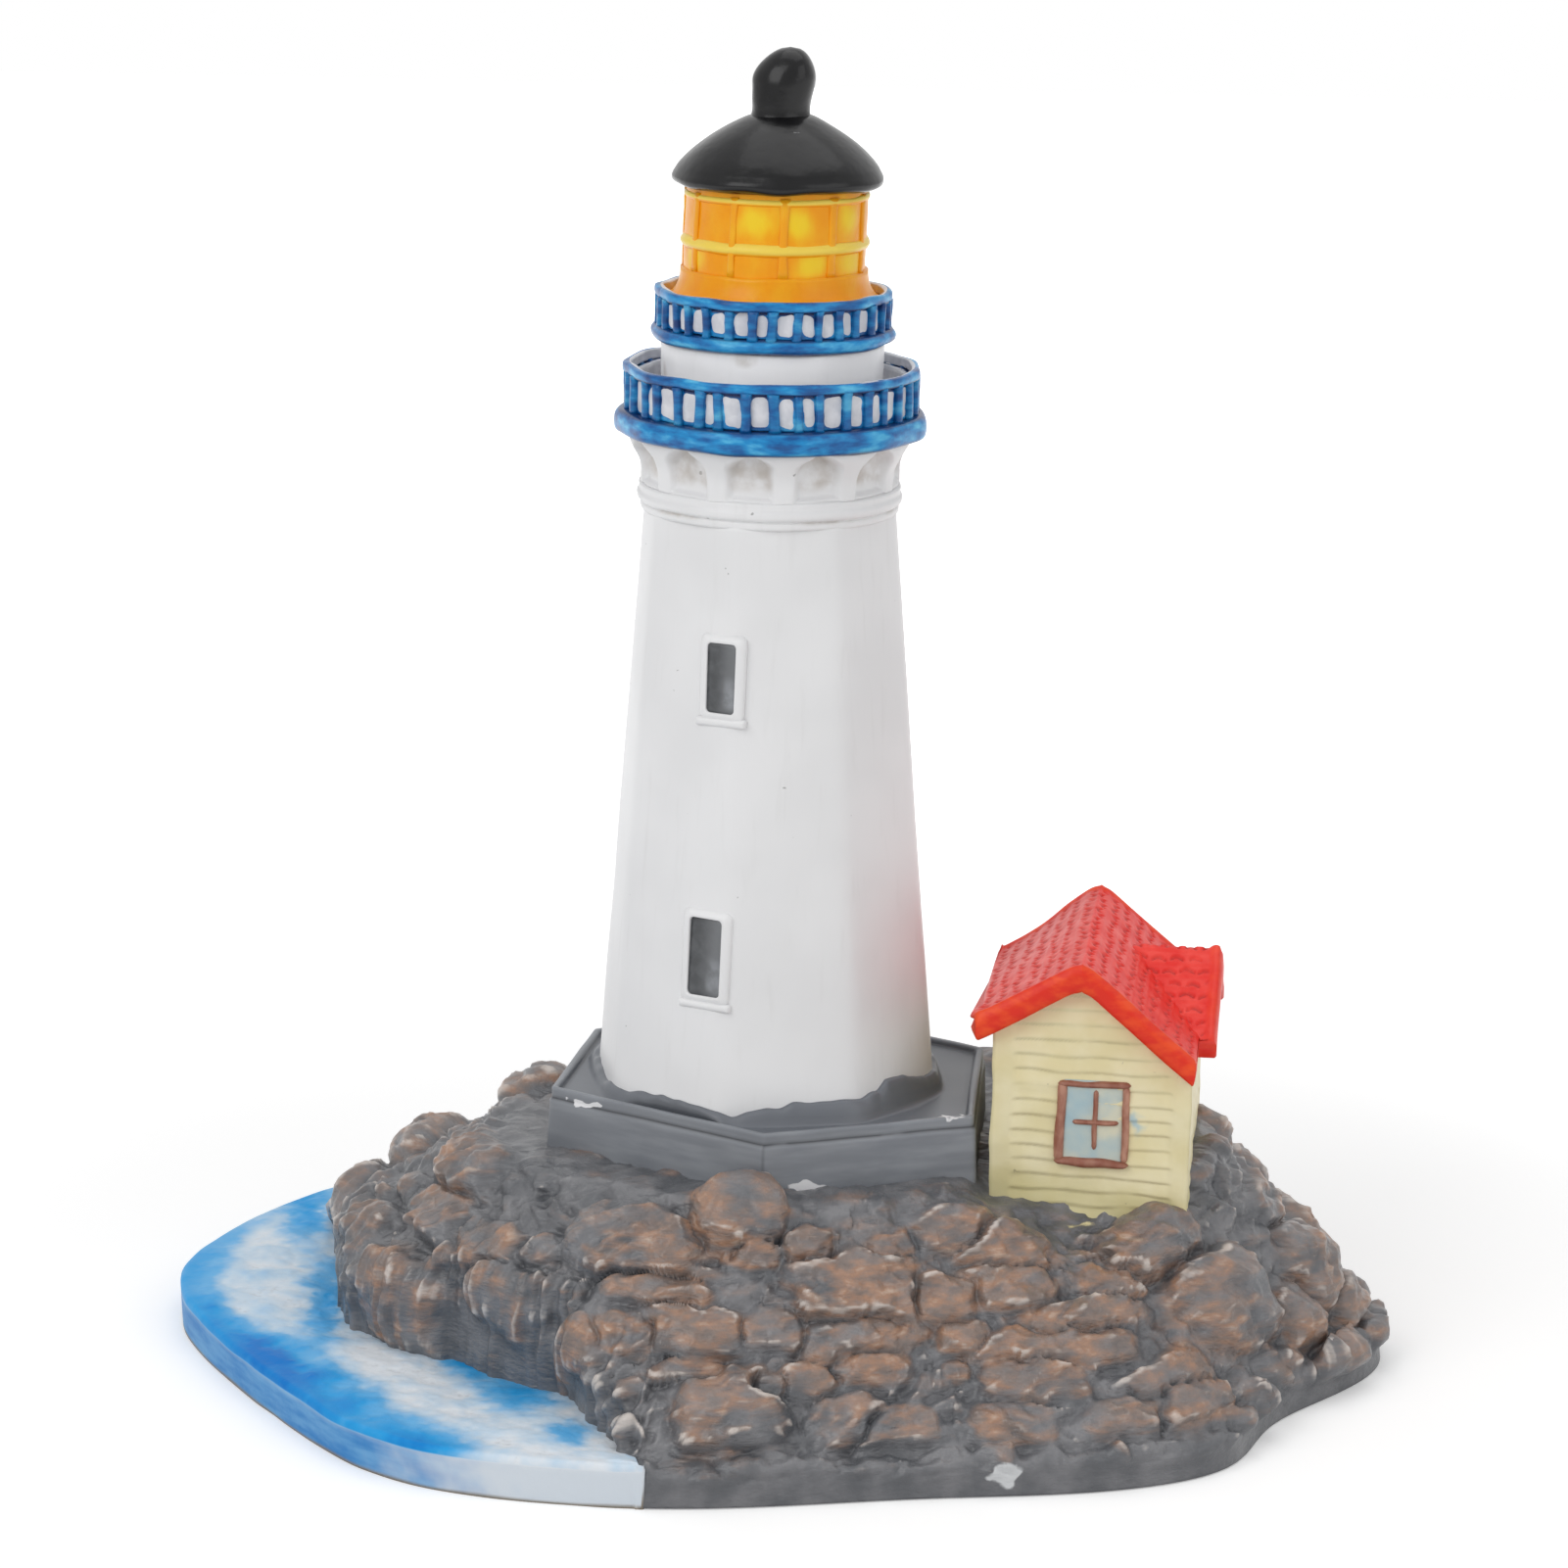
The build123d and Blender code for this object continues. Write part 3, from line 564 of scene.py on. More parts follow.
# %% Stacked rings
def rounded_rectangle(half_width, half_height, corner, turns=5):
    """Points round a rectangle with quarter-round corners."""
    angles = np.linspace(0, TURN / 4, turns)
    quarter = np.concatenate([angles + TURN / 4 * side for side in range(4)])
    signs = np.repeat([(1, 1), (-1, 1), (-1, -1), (1, -1)], turns, axis=0)
    middle = signs * (np.array([half_width, half_height]) - corner)
    return middle + corner * np.stack([np.cos(quarter), np.sin(quarter)], axis=-1)


def ringed_block(origin, across, up, out, half_size, rings):
    """Stack of rounded rectangles on a plane. Each ring is an inset, a height over the plane and a corner radius."""
    rows = []
    for inset, height, corner in rings:
        flat = rounded_rectangle(half_size[0] - inset, half_size[1] - inset, corner)
        rows.append(origin + flat[:, :1] * across + flat[:, 1:] * up + height * out)
    return np.stack(rows)


# %% Window paint
def window_paint():
    """Grey, lighter to the right as a painted reflection, with a pale painted highlight low on that side."""
    material, tree, shader = paint("window_grey")
    # The lighter right side is a painted reflection.
    colour = layer(tree, between(tree, mark(tree, "side"), -0.6, 0.9), rgb(58, 60, 63), rgb(106, 108, 111))
    level = mark(tree, "level")
    # A pale painted highlight low on the right of the pane.
    low_shine = combine(tree, "MULTIPLY", between(tree, level, 0.2, -0.4), between(tree, level, -0.95, -0.7))
    shine = combine(tree, "MULTIPLY", low_shine, between(tree, mark(tree, "side"), 0.0, 0.5))
    shine = combine(tree, "MULTIPLY", shine, between(tree, grain(tree, 1.6, 3), 0.2, 0.7))
    colour = layer(tree, shine, colour, rgb(146, 149, 154))
    mottle = thin(tree, between(tree, grain(tree, 1.1, 4), 0.35, 0.75), 0.25)
    colour = layer(tree, mottle, colour, rgb(112, 115, 118))
    coat(tree, shader, colour, 0.38, grain(tree, 0.7, 3), 0.12, 0.4)
    return material


window_grey = window_paint()

# %% Tower windows
border = 1.0
sill_overhang, sill_half_height, sill_gap = 0.3, 0.5, 0.05
# Half width and half height of a pane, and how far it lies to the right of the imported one.
pane_halves = {"lower": (2.05, 4.4), "upper": (1.75, 3.9)}
pane_shifts = {"lower": 0.38, "upper": 1.1}
frame_rings = [(0.0, -0.8, 0.9), (0.0, -0.12, 0.9), (0.25, 0.1, 0.8), (0.5, 0.24, 0.7), (0.72, 0.33, 0.6),
               (0.88, 0.34, 0.5), (0.97, 0.28, 0.5), (border, 0.18, 0.5), (border + 0.05, -0.8, 0.5)]
sill_rings = [(0.0, -0.8, 0.3), (0.0, -0.05, 0.3), (0.12, 0.17, 0.2), (0.26, 0.28, 0.15), (0.42, 0.31, 0.06)]
pane_rings = [(-0.3, -0.9, 0.7), (-0.3, -0.2, 0.7), (-0.05, 0.07, 0.7), (0.5, 0.1, 0.6), (1.2, 0.11, 0.4)]
slope = (shaft_foot_radius - shaft_top_radius) / (shaft_top_z - foot_z)
small_turn = np.radians(4)

for storey in ("lower", "upper"):
    frame_low, frame_high = span(f"{storey}_window_frame")
    middle_x, middle_y, middle_z = (frame_low + frame_high) / 2
    window_azimuth = np.arctan2(middle_x, -middle_y) + pane_shifts[storey] / np.hypot(middle_x, middle_y)
    before, wall, after = shaft_radius(window_azimuth + small_turn * np.array([-1, 0, 1]), middle_z)
    radial = np.array([np.sin(window_azimuth), -np.cos(window_azimuth), 0.0])
    across = np.array([np.cos(window_azimuth), np.sin(window_azimuth), 0.0])
    across += radial * (after - before) / (2 * small_turn * wall)
    across /= np.linalg.norm(across)
    out = np.array([across[1], -across[0], slope])
    out /= np.linalg.norm(out)
    up = np.cross(out, across)
    origin = radial * wall + np.array([0, 0, middle_z])
    pane_half = np.array(pane_halves[storey])
    half = pane_half + border
    rings = ringed_block(origin, across, up, out, half, frame_rings)
    sill_place = origin - up * (half[1] + sill_gap)
    sill_half = (half[0] + sill_overhang, sill_half_height)
    sill = ringed_block(sill_place, across, up, out, sill_half, sill_rings)
    shells = [shell(lean(hand_cast(rings, 0.08, 3, 21)), over=True, wash=0.0),
              shell(lean(hand_cast(sill, 0.1, 3, 22)), wash=0.0)]
    make_piece(f"{storey}_window_border", shells, tower_white, [f"{storey}_window_frame"])
    pane = ringed_block(origin, across, up, out, pane_half, pane_rings)
    side, level = ((pane - origin) @ axis / size for axis, size in zip((across, up), pane_half))
    pane_shell = shell(lean(hand_cast(pane, 0.12, 1.6, 23)), side=side, level=level)
    make_piece(f"{storey}_window_glass", [pane_shell], window_grey, [f"{storey}_window_pane"])

# %% [markdown]
# ## Neck and corbels
# A double moulding ends the shaft, and twelve flared corbels carry the lower gallery. Modelling one corbel and turning
# copies round the drum is one way. Here a single formula gives the radius: where the azimuth falls inside a corbel,
# whose width grows towards the top, the wall steps forward by a reach that also grows.

# %% Neck
neck_radius = (neck_high[0] - neck_low[0]) / 2
neck_foot, neck_top = neck_low[2], neck_high[2]
neck_columns = 240
neck_profile = round_corners([
    (neck_radius - 3, neck_foot - 0.6), (neck_radius - 0.45, neck_foot - 0.6), (neck_radius - 0.4, neck_foot + 0.2),
    (neck_radius - 0.62, neck_foot + 0.35), (neck_radius - 0.1, neck_foot + 0.6), (neck_radius, neck_foot + 1.3),
    (neck_radius - 0.3, neck_foot + 1.7), (neck_radius - 0.2, neck_top - 0.1), (neck_radius - 0.6, neck_top + 0.1),
    (neck_radius - 3, neck_top + 0.1)], 0.4)
neck_azimuth = np.linspace(0, TURN, neck_columns, endpoint=False)
neck_facets = soft_polygon(neck_azimuth, facet_count, facet_phase, 30)
neck_points = turned(neck_profile, neck_columns, 0.995 + 0.005 * neck_facets)
# Grey painted shade along the neck's groove, broken up by noise.
groove = np.exp(-((neck_points[..., 2] - neck_foot - 0.3) / 0.22) ** 2)
groove *= ease(lattice_noise(neck_points, 5, 31), -0.3, 0.5)
neck_points = lean(hand_cast(neck_points, 0.10, 5, 32))
make_piece("neck_moulding", [shell(neck_points, wash=0.7 * groove)], tower_white, ["neck_ring"])

# %% Corbels
corbel_low, corbel_high = span("corbel_ring")
corbel_count = 12
corbel_phase = np.radians(6.5)
corbel_reach = 2.1


def corbel_surface(columns=480, rows=44):
    """Drum with flared corbels: the radius is the drum's plus a reach inside each corbel, rounded at its sides."""
    low, high = corbel_low[2], corbel_high[2]
    azimuth, share = np.meshgrid(np.linspace(0, TURN, columns, endpoint=False), np.linspace(0, 1, rows))
    height = low + (high - low) * share
    drum = (corbel_high[0] - corbel_low[0]) / 2 - corbel_reach
    pitch = TURN / corbel_count
    off = np.abs((azimuth - corbel_phase + pitch / 2) % pitch - pitch / 2) * drum
    half_width = 1.25 + 0.25 * share + 1.9 * ease(share, 0.55, 1.05) ** 2
    inside = 1 - ease(off, half_width - 0.45, half_width + 0.45)
    reach = 0.75 + 1.3 * ease(share, 0.25, 1.0) ** 1.3
    base_ring = 0.55 * (1 - ease(share, 0.03, 0.14))
    radius = drum + np.maximum(inside * reach, base_ring)
    points = np.stack([radius * np.sin(azimuth), -radius * np.cos(azimuth), height], axis=-1)
    return points, (1 - inside) * ease(share, 0.12, 0.4)


corbel_points, recess = corbel_surface()
corbel_points = lean(hand_cast(corbel_points, 0.16, 3.2, 33))
# Grey painted shade in the recesses between the corbels.
make_piece("corbels", [shell(corbel_points, wash=0.75 * recess)], tower_white, ["corbel_ring"])

# %% [markdown]
# ## Blue and white gallery paint
# The rails, bars and decks are blue, brushed wet over white, so light and dark streaks run together. White panels stay
# between the bars with wobbly edges. A mark called white says where the white is, and noise in the shader breaks its
# edge as a brush would.


# %% Gallery paint
def gallery_paint():
    """Streaked blue with darker shade, and white where the mark white says."""
    material, tree, shader = paint("rail_blue")
    streak = grain(tree, 2.6, 4, (1.6, 1.6, 0.5))
    blue = steps(tree, streak, [(0.30, rgb(8, 54, 112)), (0.43, rgb(12, 96, 162)), (0.55, rgb(28, 138, 200)),
                                (0.70, rgb(92, 188, 228))])
    shade = between(tree, mark(tree, "shade"), 0.2, 0.9)
    blue = layer(tree, shade, blue, rgb(16, 38, 88))
    edge = combine(tree, "ADD", mark(tree, "white"), thin(tree, grain(tree, 0.8, 2), 0.5))
    white = layer(tree, between(tree, grain(tree, 1.5, 3), 0.3, 0.7), rgb(226, 226, 230), rgb(206, 207, 213))
    colour = layer(tree, between(tree, edge, 0.68, 0.84), blue, white)
    relief = grain(tree, 0.8, 3, (1, 1, 2.5))
    coat(tree, shader, colour, 0.30, relief, 0.15, 0.35, 0.3)
    return material


rail_blue = gallery_paint()

# %% [markdown]
# ## Galleries
# Both galleries are alike: a deck with a bulging edge, a low ring wall with panels, bars over the wall, and a rail on
# top. The bars are all slightly different in width and spacing, as they were cut by hand. One set of functions makes
# both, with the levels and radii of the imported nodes.


# %% Gallery functions
def bar_azimuths(count, seed):
    """Places of the bars: even steps with a small random shift."""
    jitter = np.random.default_rng(seed).uniform(-0.13, 0.13, count)
    return (np.arange(count) + jitter) * TURN / count


def ring_shape(columns, sides, phase):
    """A circle filed slightly flat into a polygon."""
    return 0.55 + 0.45 * soft_polygon(np.linspace(0, TURN, columns, endpoint=False), sides, phase, 60)


def gallery_bars(azimuths, radius, low, high, width, depth, seed):
    """Upright bars, each a half-oval section carried up the wall, thicker at both ends. The array runs by bar,
    row and column."""
    rng = np.random.default_rng(seed)
    height = np.linspace(0, 1, 9)[None, :, None]
    turn = np.linspace(0, TURN, 14, endpoint=False)[None, None, :]
    widths = width * rng.uniform(0.82, 1.2, len(azimuths))[:, None, None]
    slant = rng.uniform(-0.16, 0.16, len(azimuths))[:, None, None]
    swell = 1 + 0.35 * (2 * height - 1) ** 4
    aside = widths / 2 * swell * np.sign(np.cos(turn)) * np.abs(np.cos(turn)) ** 0.8 + slant * (2 * height - 1)
    reach = radius + depth * np.sign(np.sin(turn)) * np.abs(np.sin(turn)) ** 0.7 + 0 * height
    azimuth = azimuths[:, None, None] + aside / radius
    level = low + (high - low) * height + 0 * azimuth
    points = np.stack([reach * np.sin(azimuth), -reach * np.cos(azimuth), level], axis=-1)
    return [lean(hand_cast(bar, 0.07, 1.5, seed)) for bar in points]


# %% Galleries
nick_azimuth = np.radians(41)


def gallery(storey, count, sides, seed):
    """Deck, ring wall, bars and rail of one gallery."""
    deck_low, deck_high = span(f"{storey}_gallery_deck")
    wall_low, wall_high = span(f"{storey}_parapet")
    rail_low, rail_high = span(f"{storey}_railing")
    deck, wall, rail = ((high[0] - low[0]) / 2 for low, high in
                        ((deck_low, deck_high), (wall_low, wall_high), (rail_low, rail_high)))
    floor_z, deck_z, wall_z, rail_z = deck_low[2], wall_low[2], wall_high[2], rail_high[2]
    columns = count * 22
    shape = ring_shape(columns, sides, 0.2)
    azimuth = np.linspace(0, TURN, columns, endpoint=False)
    bars = bar_azimuths(count, seed)
    wall_inner = wall - 1.2
    bar_width = 0.34 * TURN * wall / count

    edge = (deck_z - floor_z) / 2
    deck_profile = round_corners([
        (1, floor_z), (deck - 0.9, floor_z), (deck - 0.15, floor_z + 0.35), (deck, floor_z + edge),
        (deck - 0.12, deck_z - 0.55), (deck - 0.55, deck_z - 0.05), (wall_inner, deck_z), (1, deck_z)], 0.6, 6)
    points = hand_cast(turned(deck_profile, columns, shape), 0.14, 4, seed + 1)
    inner = ease(-polar(points)[1], -wall_inner + 0.2, -wall_inner + 0.6) * (points[..., 2] > deck_z - 0.5)
    shade = np.exp(-((points[..., 2] - floor_z) / 0.5) ** 2) + np.exp(-((points[..., 2] - deck_z) / 0.35) ** 2)
    make_piece(f"{storey}_deck", [shell(lean(points), white=inner, shade=0.8 * shade)], rail_blue,
               [f"{storey}_gallery_deck"])

    outer_rows, inner_rows = 30, 8
    rise = np.concatenate([np.linspace(deck_z, wall_z, outer_rows), np.linspace(wall_z, deck_z, inner_rows)])
    radius = np.repeat([wall, wall_inner], [outer_rows, inner_rows])
    outside = np.arange(outer_rows + inner_rows)[:, None] < outer_rows
    points = turned(np.stack([radius, rise], axis=-1), columns, shape)
    gap = np.abs((azimuth[:, None] - bars + np.pi) % TURN - np.pi).min(axis=1) * wall
    level = (points[..., 2] - deck_z) / (wall_z - deck_z)
    wobble = 0.22 * lattice_noise(points, 1.1, seed + 2)
    sides_clear = gap - bar_width / 2 - 0.1 + wobble
    ends_clear = np.minimum(level - 0.1, 0.93 - level) * (wall_z - deck_z) + wobble
    corner = np.hypot(np.minimum(sides_clear - 0.5, 0), np.minimum(ends_clear - 0.5, 0))
    white = np.where(outside, ease(0.5 - corner, -0.1, 0.14), 1.0)
    shade = np.where(outside, np.exp(-((level - 1) / 0.12) ** 2) * (gap > 0.5), 0)
    points = lean(hand_cast(points, 0.10, 3, seed + 3))
    make_piece(f"{storey}_ring_wall", [shell(points, over=True, white=white, shade=shade)], rail_blue,
               [f"{storey}_parapet"])

    middle = (wall_z + rail_z) / 2
    rail_profile = round_corners([
        (rail - 1.0, middle), (rail - 1.0, wall_z), (rail - 0.1, wall_z), (rail, middle), (rail - 0.1, rail_z),
        (rail - 1.0, rail_z), (rail - 1.0, middle + 0.1)], 0.42, 6)
    points = hand_cast(turned(rail_profile, columns, shape), 0.16, 3.5, seed + 4)
    under = np.exp(-((points[..., 2] - wall_z) / 0.3) ** 2)
    rail_turn, rail_reach = polar(points)
    nick = np.exp(-((rail_turn - nick_azimuth) / 0.10) ** 2) * ease(points[..., 2], middle, rail_z)
    nick = nick * (storey == "lower") * (rail_reach < rail - 0.3)
    inside = ease(rail - rail_reach, 0.62, 0.85)
    shells = [shell(lean(points), over=True, white=np.maximum(nick, inside), shade=under)]
    for bar in gallery_bars(bars, wall, deck_z - 0.2, wall_z + 0.2, bar_width, 0.5, seed + 5):
        shells.append(shell(bar, white=0.0, shade=0.4))
    make_piece(f"{storey}_rail", shells, rail_blue, [f"{storey}_railing"])


gallery("lower", count=36, sides=11, seed=41)
gallery("upper", count=32, sides=10, seed=61)

# %% [markdown]
# ## Watch room
# A plain white drum stands between the galleries. It is a turned wall, a little out of round.

# %% Watch room
room_low, room_high = span("watch_room")
room_radius = (room_high[0] - room_low[0]) / 2
room_rows, room_columns = 24, 160
room_heights = np.linspace(room_low[2], room_high[2], room_rows)
room_profile = np.stack([np.full(room_rows, room_radius), room_heights], axis=-1)
room_points = turned(room_profile, room_columns, ring_shape(room_columns, 9, 0.4))
smudge = 0.5 * ease(lattice_noise(room_points, 3, 71), 0.35, 0.8)
room_points = lean(hand_cast(room_points, 0.1, 4, 72))
# Painted light: the lighter white brightens the room where the galleries shade it.
make_piece("watch_room_wall", [shell(room_points, wash=smudge)], room_white, ["watch_room"])

# %% [markdown]
# ## Lantern
# The lantern is painted solid: a flared curb, a drum with glazing bars and a transom, all in orange with yellow laid
# on where light would show. The bars are low ridges, so a single radius formula would do, but the transom and bars
# stay a piece of their own, as on a real lantern.


# %% Lantern paint
def lantern_paint():
    """Orange in two washes, with yellow glows and pale yellow edges."""
    material, tree, shader = paint("lantern_orange")
    wash = between(tree, grain(tree, 2.4, 3, (1, 1, 1.8)), 0.3, 0.75)
    colour = layer(tree, wash, rgb(242, 156, 4), rgb(244, 170, 22))
    deep = between(tree, grain(tree, 1.2, 3, shift=1.7), 0.55, 0.8)
    colour = layer(tree, thin(tree, deep, 0.35), colour, rgb(232, 144, 10))
    glow = between(tree, combine(tree, "ADD", mark(tree, "glow"), thin(tree, wash, 0.3)), 0.15, 1.15)
    colour = layer(tree, glow, colour, rgb(244, 206, 40))
    colour = layer(tree, between(tree, mark(tree, "edge"), 0.25, 1.0), colour, rgb(242, 212, 88))
    coat(tree, shader, colour, 0.30, grain(tree, 0.9, 3), 0.12, 0.3, 0.25)
    return material


lantern_orange = lantern_paint()

# %% Lantern curb and drum
glass_low, glass_high = span("lantern_glazing")
curb_low, curb_high = span("lantern_base")
glass_radius = (glass_high[0] - glass_low[0]) / 2
curb_radius = (curb_high[0] - curb_low[0]) / 2
glass_foot, glass_top = glass_low[2], glass_high[2]
mullion_count = 11
mullion_phase = np.radians(5)
transom_z = glass_foot + 3.0

curb_foot, curb_shoulder = curb_low[2] + 2.0, curb_low[2] + 3.1
flare = np.linspace(0, 1, 14)
curb_profile = np.concatenate([
    [(curb_radius - 3, curb_foot), (curb_radius, curb_foot)],
    np.stack([curb_radius - (curb_radius - glass_radius - 0.35) * np.sin(flare * TURN / 4) ** 0.8,
              curb_shoulder + (glass_foot - curb_shoulder) * flare**1.6], axis=-1),
    [(glass_radius - 2, glass_foot)]])
curb_points = lean(hand_cast(turned(curb_profile, 200), 0.12, 3, 81))
make_piece("lantern_curb", [shell(curb_points, glow=0.0, edge=0.0)], lantern_orange,
           ["lantern_base"])

glass_rows, glass_columns = 40, 220
glass_heights = np.linspace(glass_foot - 0.3, glass_top + 0.6, glass_rows)
glass_points = turned(np.stack([np.full(glass_rows, glass_radius), glass_heights], axis=-1), glass_columns)
glass_azimuth = polar(glass_points)[0]
# A glow: direction in degrees and rise above the drum's foot.
glow_spots = ((-14, 6.2), (14, 6.0), (24, 1.4), (52, 6.3), (58, 1.6), (120, 6.0), (170, 5.5), (-120, 6.0),
              (-60, 1.5))
glow = sum(np.exp(-((glass_azimuth - np.radians(turn)) / 0.20) ** 2
                  - ((glass_points[..., 2] - glass_foot - rise) / 1.8) ** 2) for turn, rise in glow_spots)
glass_points = lean(hand_cast(glass_points, 0.1, 3, 82))
make_piece("lantern_drum", [shell(glass_points, glow=glow, edge=0.0)], lantern_orange,
           ["lantern_glazing"])


# %% Lantern bars
def ring_bar(radius, low, high, proud):
    """A half-round ring that stands proud of a drum."""
    middle = (low + high) / 2
    return turned(round_corners([
        (radius - 0.4, middle), (radius - 0.4, low), (radius + 0.1, low), (radius + proud, middle),
        (radius + 0.1, high), (radius - 0.4, high), (radius - 0.4, middle + 0.05)], 0.3, 5), glass_columns)


mullions = mullion_phase + np.arange(mullion_count) * TURN / mullion_count
lantern_shells = []
for low, high, proud in ((transom_z - 0.7, transom_z + 0.7, 0.55), (glass_top - 0.9, glass_top - 0.1, 0.3)):
    ring = hand_cast(ring_bar(glass_radius, low, high, proud), 0.12, 3, 83)
    lantern_shells.append(shell(lean(ring), over=True, glow=0.0, edge=ease(ring[..., 2], low, low + 0.5)))
for bar in gallery_bars(mullions, glass_radius, glass_foot - 0.2, glass_top, 0.85, 0.24, 84):
    lantern_shells.append(shell(bar, glow=0.1, edge=0.36))
make_piece("lantern_bars", lantern_shells, lantern_orange, ["lantern_frame"])

# %% [markdown]
# ## Roof and finial
# The roof is a bell with a thick rounded rim, and the finial is a bullet that leans and has a lump on one shoulder. A
# profile is spun for each, and smooth random fields push the rim into the wavy edge of a poured casting.


# %% Black paint
def black_paint():
    """Glossy black with an uneven sheen and a pale nick."""
    material, tree, shader = paint("roof_black")
    colour = layer(tree, between(tree, grain(tree, 3, 3), 0.35, 0.75), rgb(8, 8, 10), rgb(17, 17, 19))
    rough = between(tree, grain(tree, 2.2, 3, shift=2.0), 0.1, 1.6)
    rough = node(tree, "MapRange", Value=rough, To_Min=0.20, To_Max=0.36).outputs[0]
    colour = layer(tree, between(tree, mark(tree, "nick"), 0.4, 0.7), colour, rgb(190, 190, 192))
    coat(tree, shader, colour, rough, grain(tree, 1.6, 3), 0.2, 0.3, 0.28)
    return material


roof_black = black_paint()

# %% Bell roof
bell_low, bell_high = span("lantern_roof")
knob_low, knob_high = span("finial")
rim = (bell_high[0] - bell_low[0]) / 2
bell_foot, bell_top = bell_low[2], bell_high[2]
bell_rise = np.linspace(0, 1, 26)
bell_radius = 3.2 + (rim - 3.8) * (1 - bell_rise) ** (0.5 + 0.3 * bell_rise)
bell_profile = np.concatenate([
    [(2.0, bell_foot + 0.1)],
    round_corners([(3.0, bell_foot), (rim - 1.3, bell_foot + 0.4), (rim - 0.15, bell_foot + 0.8),
                   (rim, bell_foot + 1.5), (rim - 0.55, bell_foot + 2.4)], 0.9, 6),
    np.stack([bell_radius, bell_foot + 2.5 + (bell_top - bell_foot - 2.5) * bell_rise], axis=-1)])
bell_points = turned(bell_profile, 200)
bell_azimuth, bell_reach = polar(bell_points)
round_the_rim = np.stack([3 * np.sin(bell_azimuth), 3 * np.cos(bell_azimuth), 0 * bell_azimuth], axis=-1)
wave = 0.32 * lattice_noise(round_the_rim, 1.1, 91)
near_rim = ease(bell_reach, rim - 3, rim) * (1 - ease(bell_points[..., 2], bell_foot, bell_foot + 3))
bell_points[..., 2] += wave * near_rim
bell_points[..., 2] = np.maximum(bell_points[..., 2], bell_foot - 0.4)
bell_points = lean(hand_cast(bell_points, 0.14, 4.5, 92))
roof_nicks = [(814, 137, 7, 2.5, 1.0)]
bell_shell = shell(bell_points, nick=spots(bell_points, roof_nicks))
make_piece("bell_roof", [bell_shell], roof_black, ["lantern_roof"])

# %% Finial
knob_radius = (knob_high[0] - knob_low[0]) / 2 - 0.15
knob_share = np.linspace(0, 1, 40)
knob_outline = np.where(knob_share < 0.5, 0.93 + 0.07 * np.sin(knob_share * TURN / 2),
                        np.sqrt(np.maximum(1 - ((knob_share - 0.5) / 0.5) ** 2, 0)))
foot_flare = 0.5 * np.exp(-knob_share / 0.06)
knob_heights = bell_top - 0.6 + (knob_high[2] - bell_top + 0.5) * knob_share
knob_points = turned(np.stack([knob_radius * knob_outline + foot_flare, knob_heights], axis=-1), 90)
knob_azimuth = polar(knob_points)[0]
shoulder = np.exp(-((knob_azimuth + np.radians(95)) / 0.7) ** 2 - ((knob_share[:, None] - 0.62) / 0.16) ** 2)
knob_points *= 1 + np.array([0.10, 0.10, 0.0]) * shoulder[..., None]
knob_points[..., 0] += 0.9 * ease(knob_share, 0.2, 1.0)[:, None]
knob_points = lean(hand_cast(knob_points, 0.16, 2.6, 93))
make_piece("finial_knob", [shell(knob_points, nick=0.0)], roof_black, ["finial"])

# %% [markdown]
# ## Plinth
# The tower stands on a six-cornered foundation with a low curb, painted grey in flat strokes, with chips where the
# white casting shows. A lump of mortar runs round the tower's foot. The rows of the grid go up the outside, over the
# curb, across the floor and up the mortar. Each row is a distance from the six-cornered outline or from the tower.

# %% Plinth form
plinth_low, plinth_high = span("plinth")
plinth_foot, plinth_top = plinth_low[2], plinth_high[2]
plinth_turns = np.radians((0, 55, 110, 170, 235, 290))
plinth_radii = 20.0 + np.array((5.0, 8.8, 7.4, 5.4, 4.9, 6.0))
mortar_turns = (-90, -60, -34, -10.5, 9.5, 29, 41, 45.5, 56, 69, 90)
mortar_levels = (33.2, 33.0, 33.8, 32.9, 34.2, 34.4, 34.5, 35.5, 35.3, 34.0, 34.4)


def plinth_reach(azimuth):
    """Distance to the straight side between two corners, averaged over a small turn so that corners are soft."""
    total = 0
    shifts = np.radians(np.linspace(-0.6, 0.6, 7))
    for shift in shifts:
        turn = (azimuth + shift) % TURN
        index = np.searchsorted(plinth_turns, turn, side="right") - 1
        start, end = plinth_turns[index], np.append(plinth_turns, TURN)[index + 1]
        near, far = plinth_radii[index], np.append(plinth_radii, plinth_radii[0])[index + 1]
        total = total + near * far * np.sin(end - start) / (near * np.sin(turn - start) + far * np.sin(end - turn))
    return total / len(shifts)


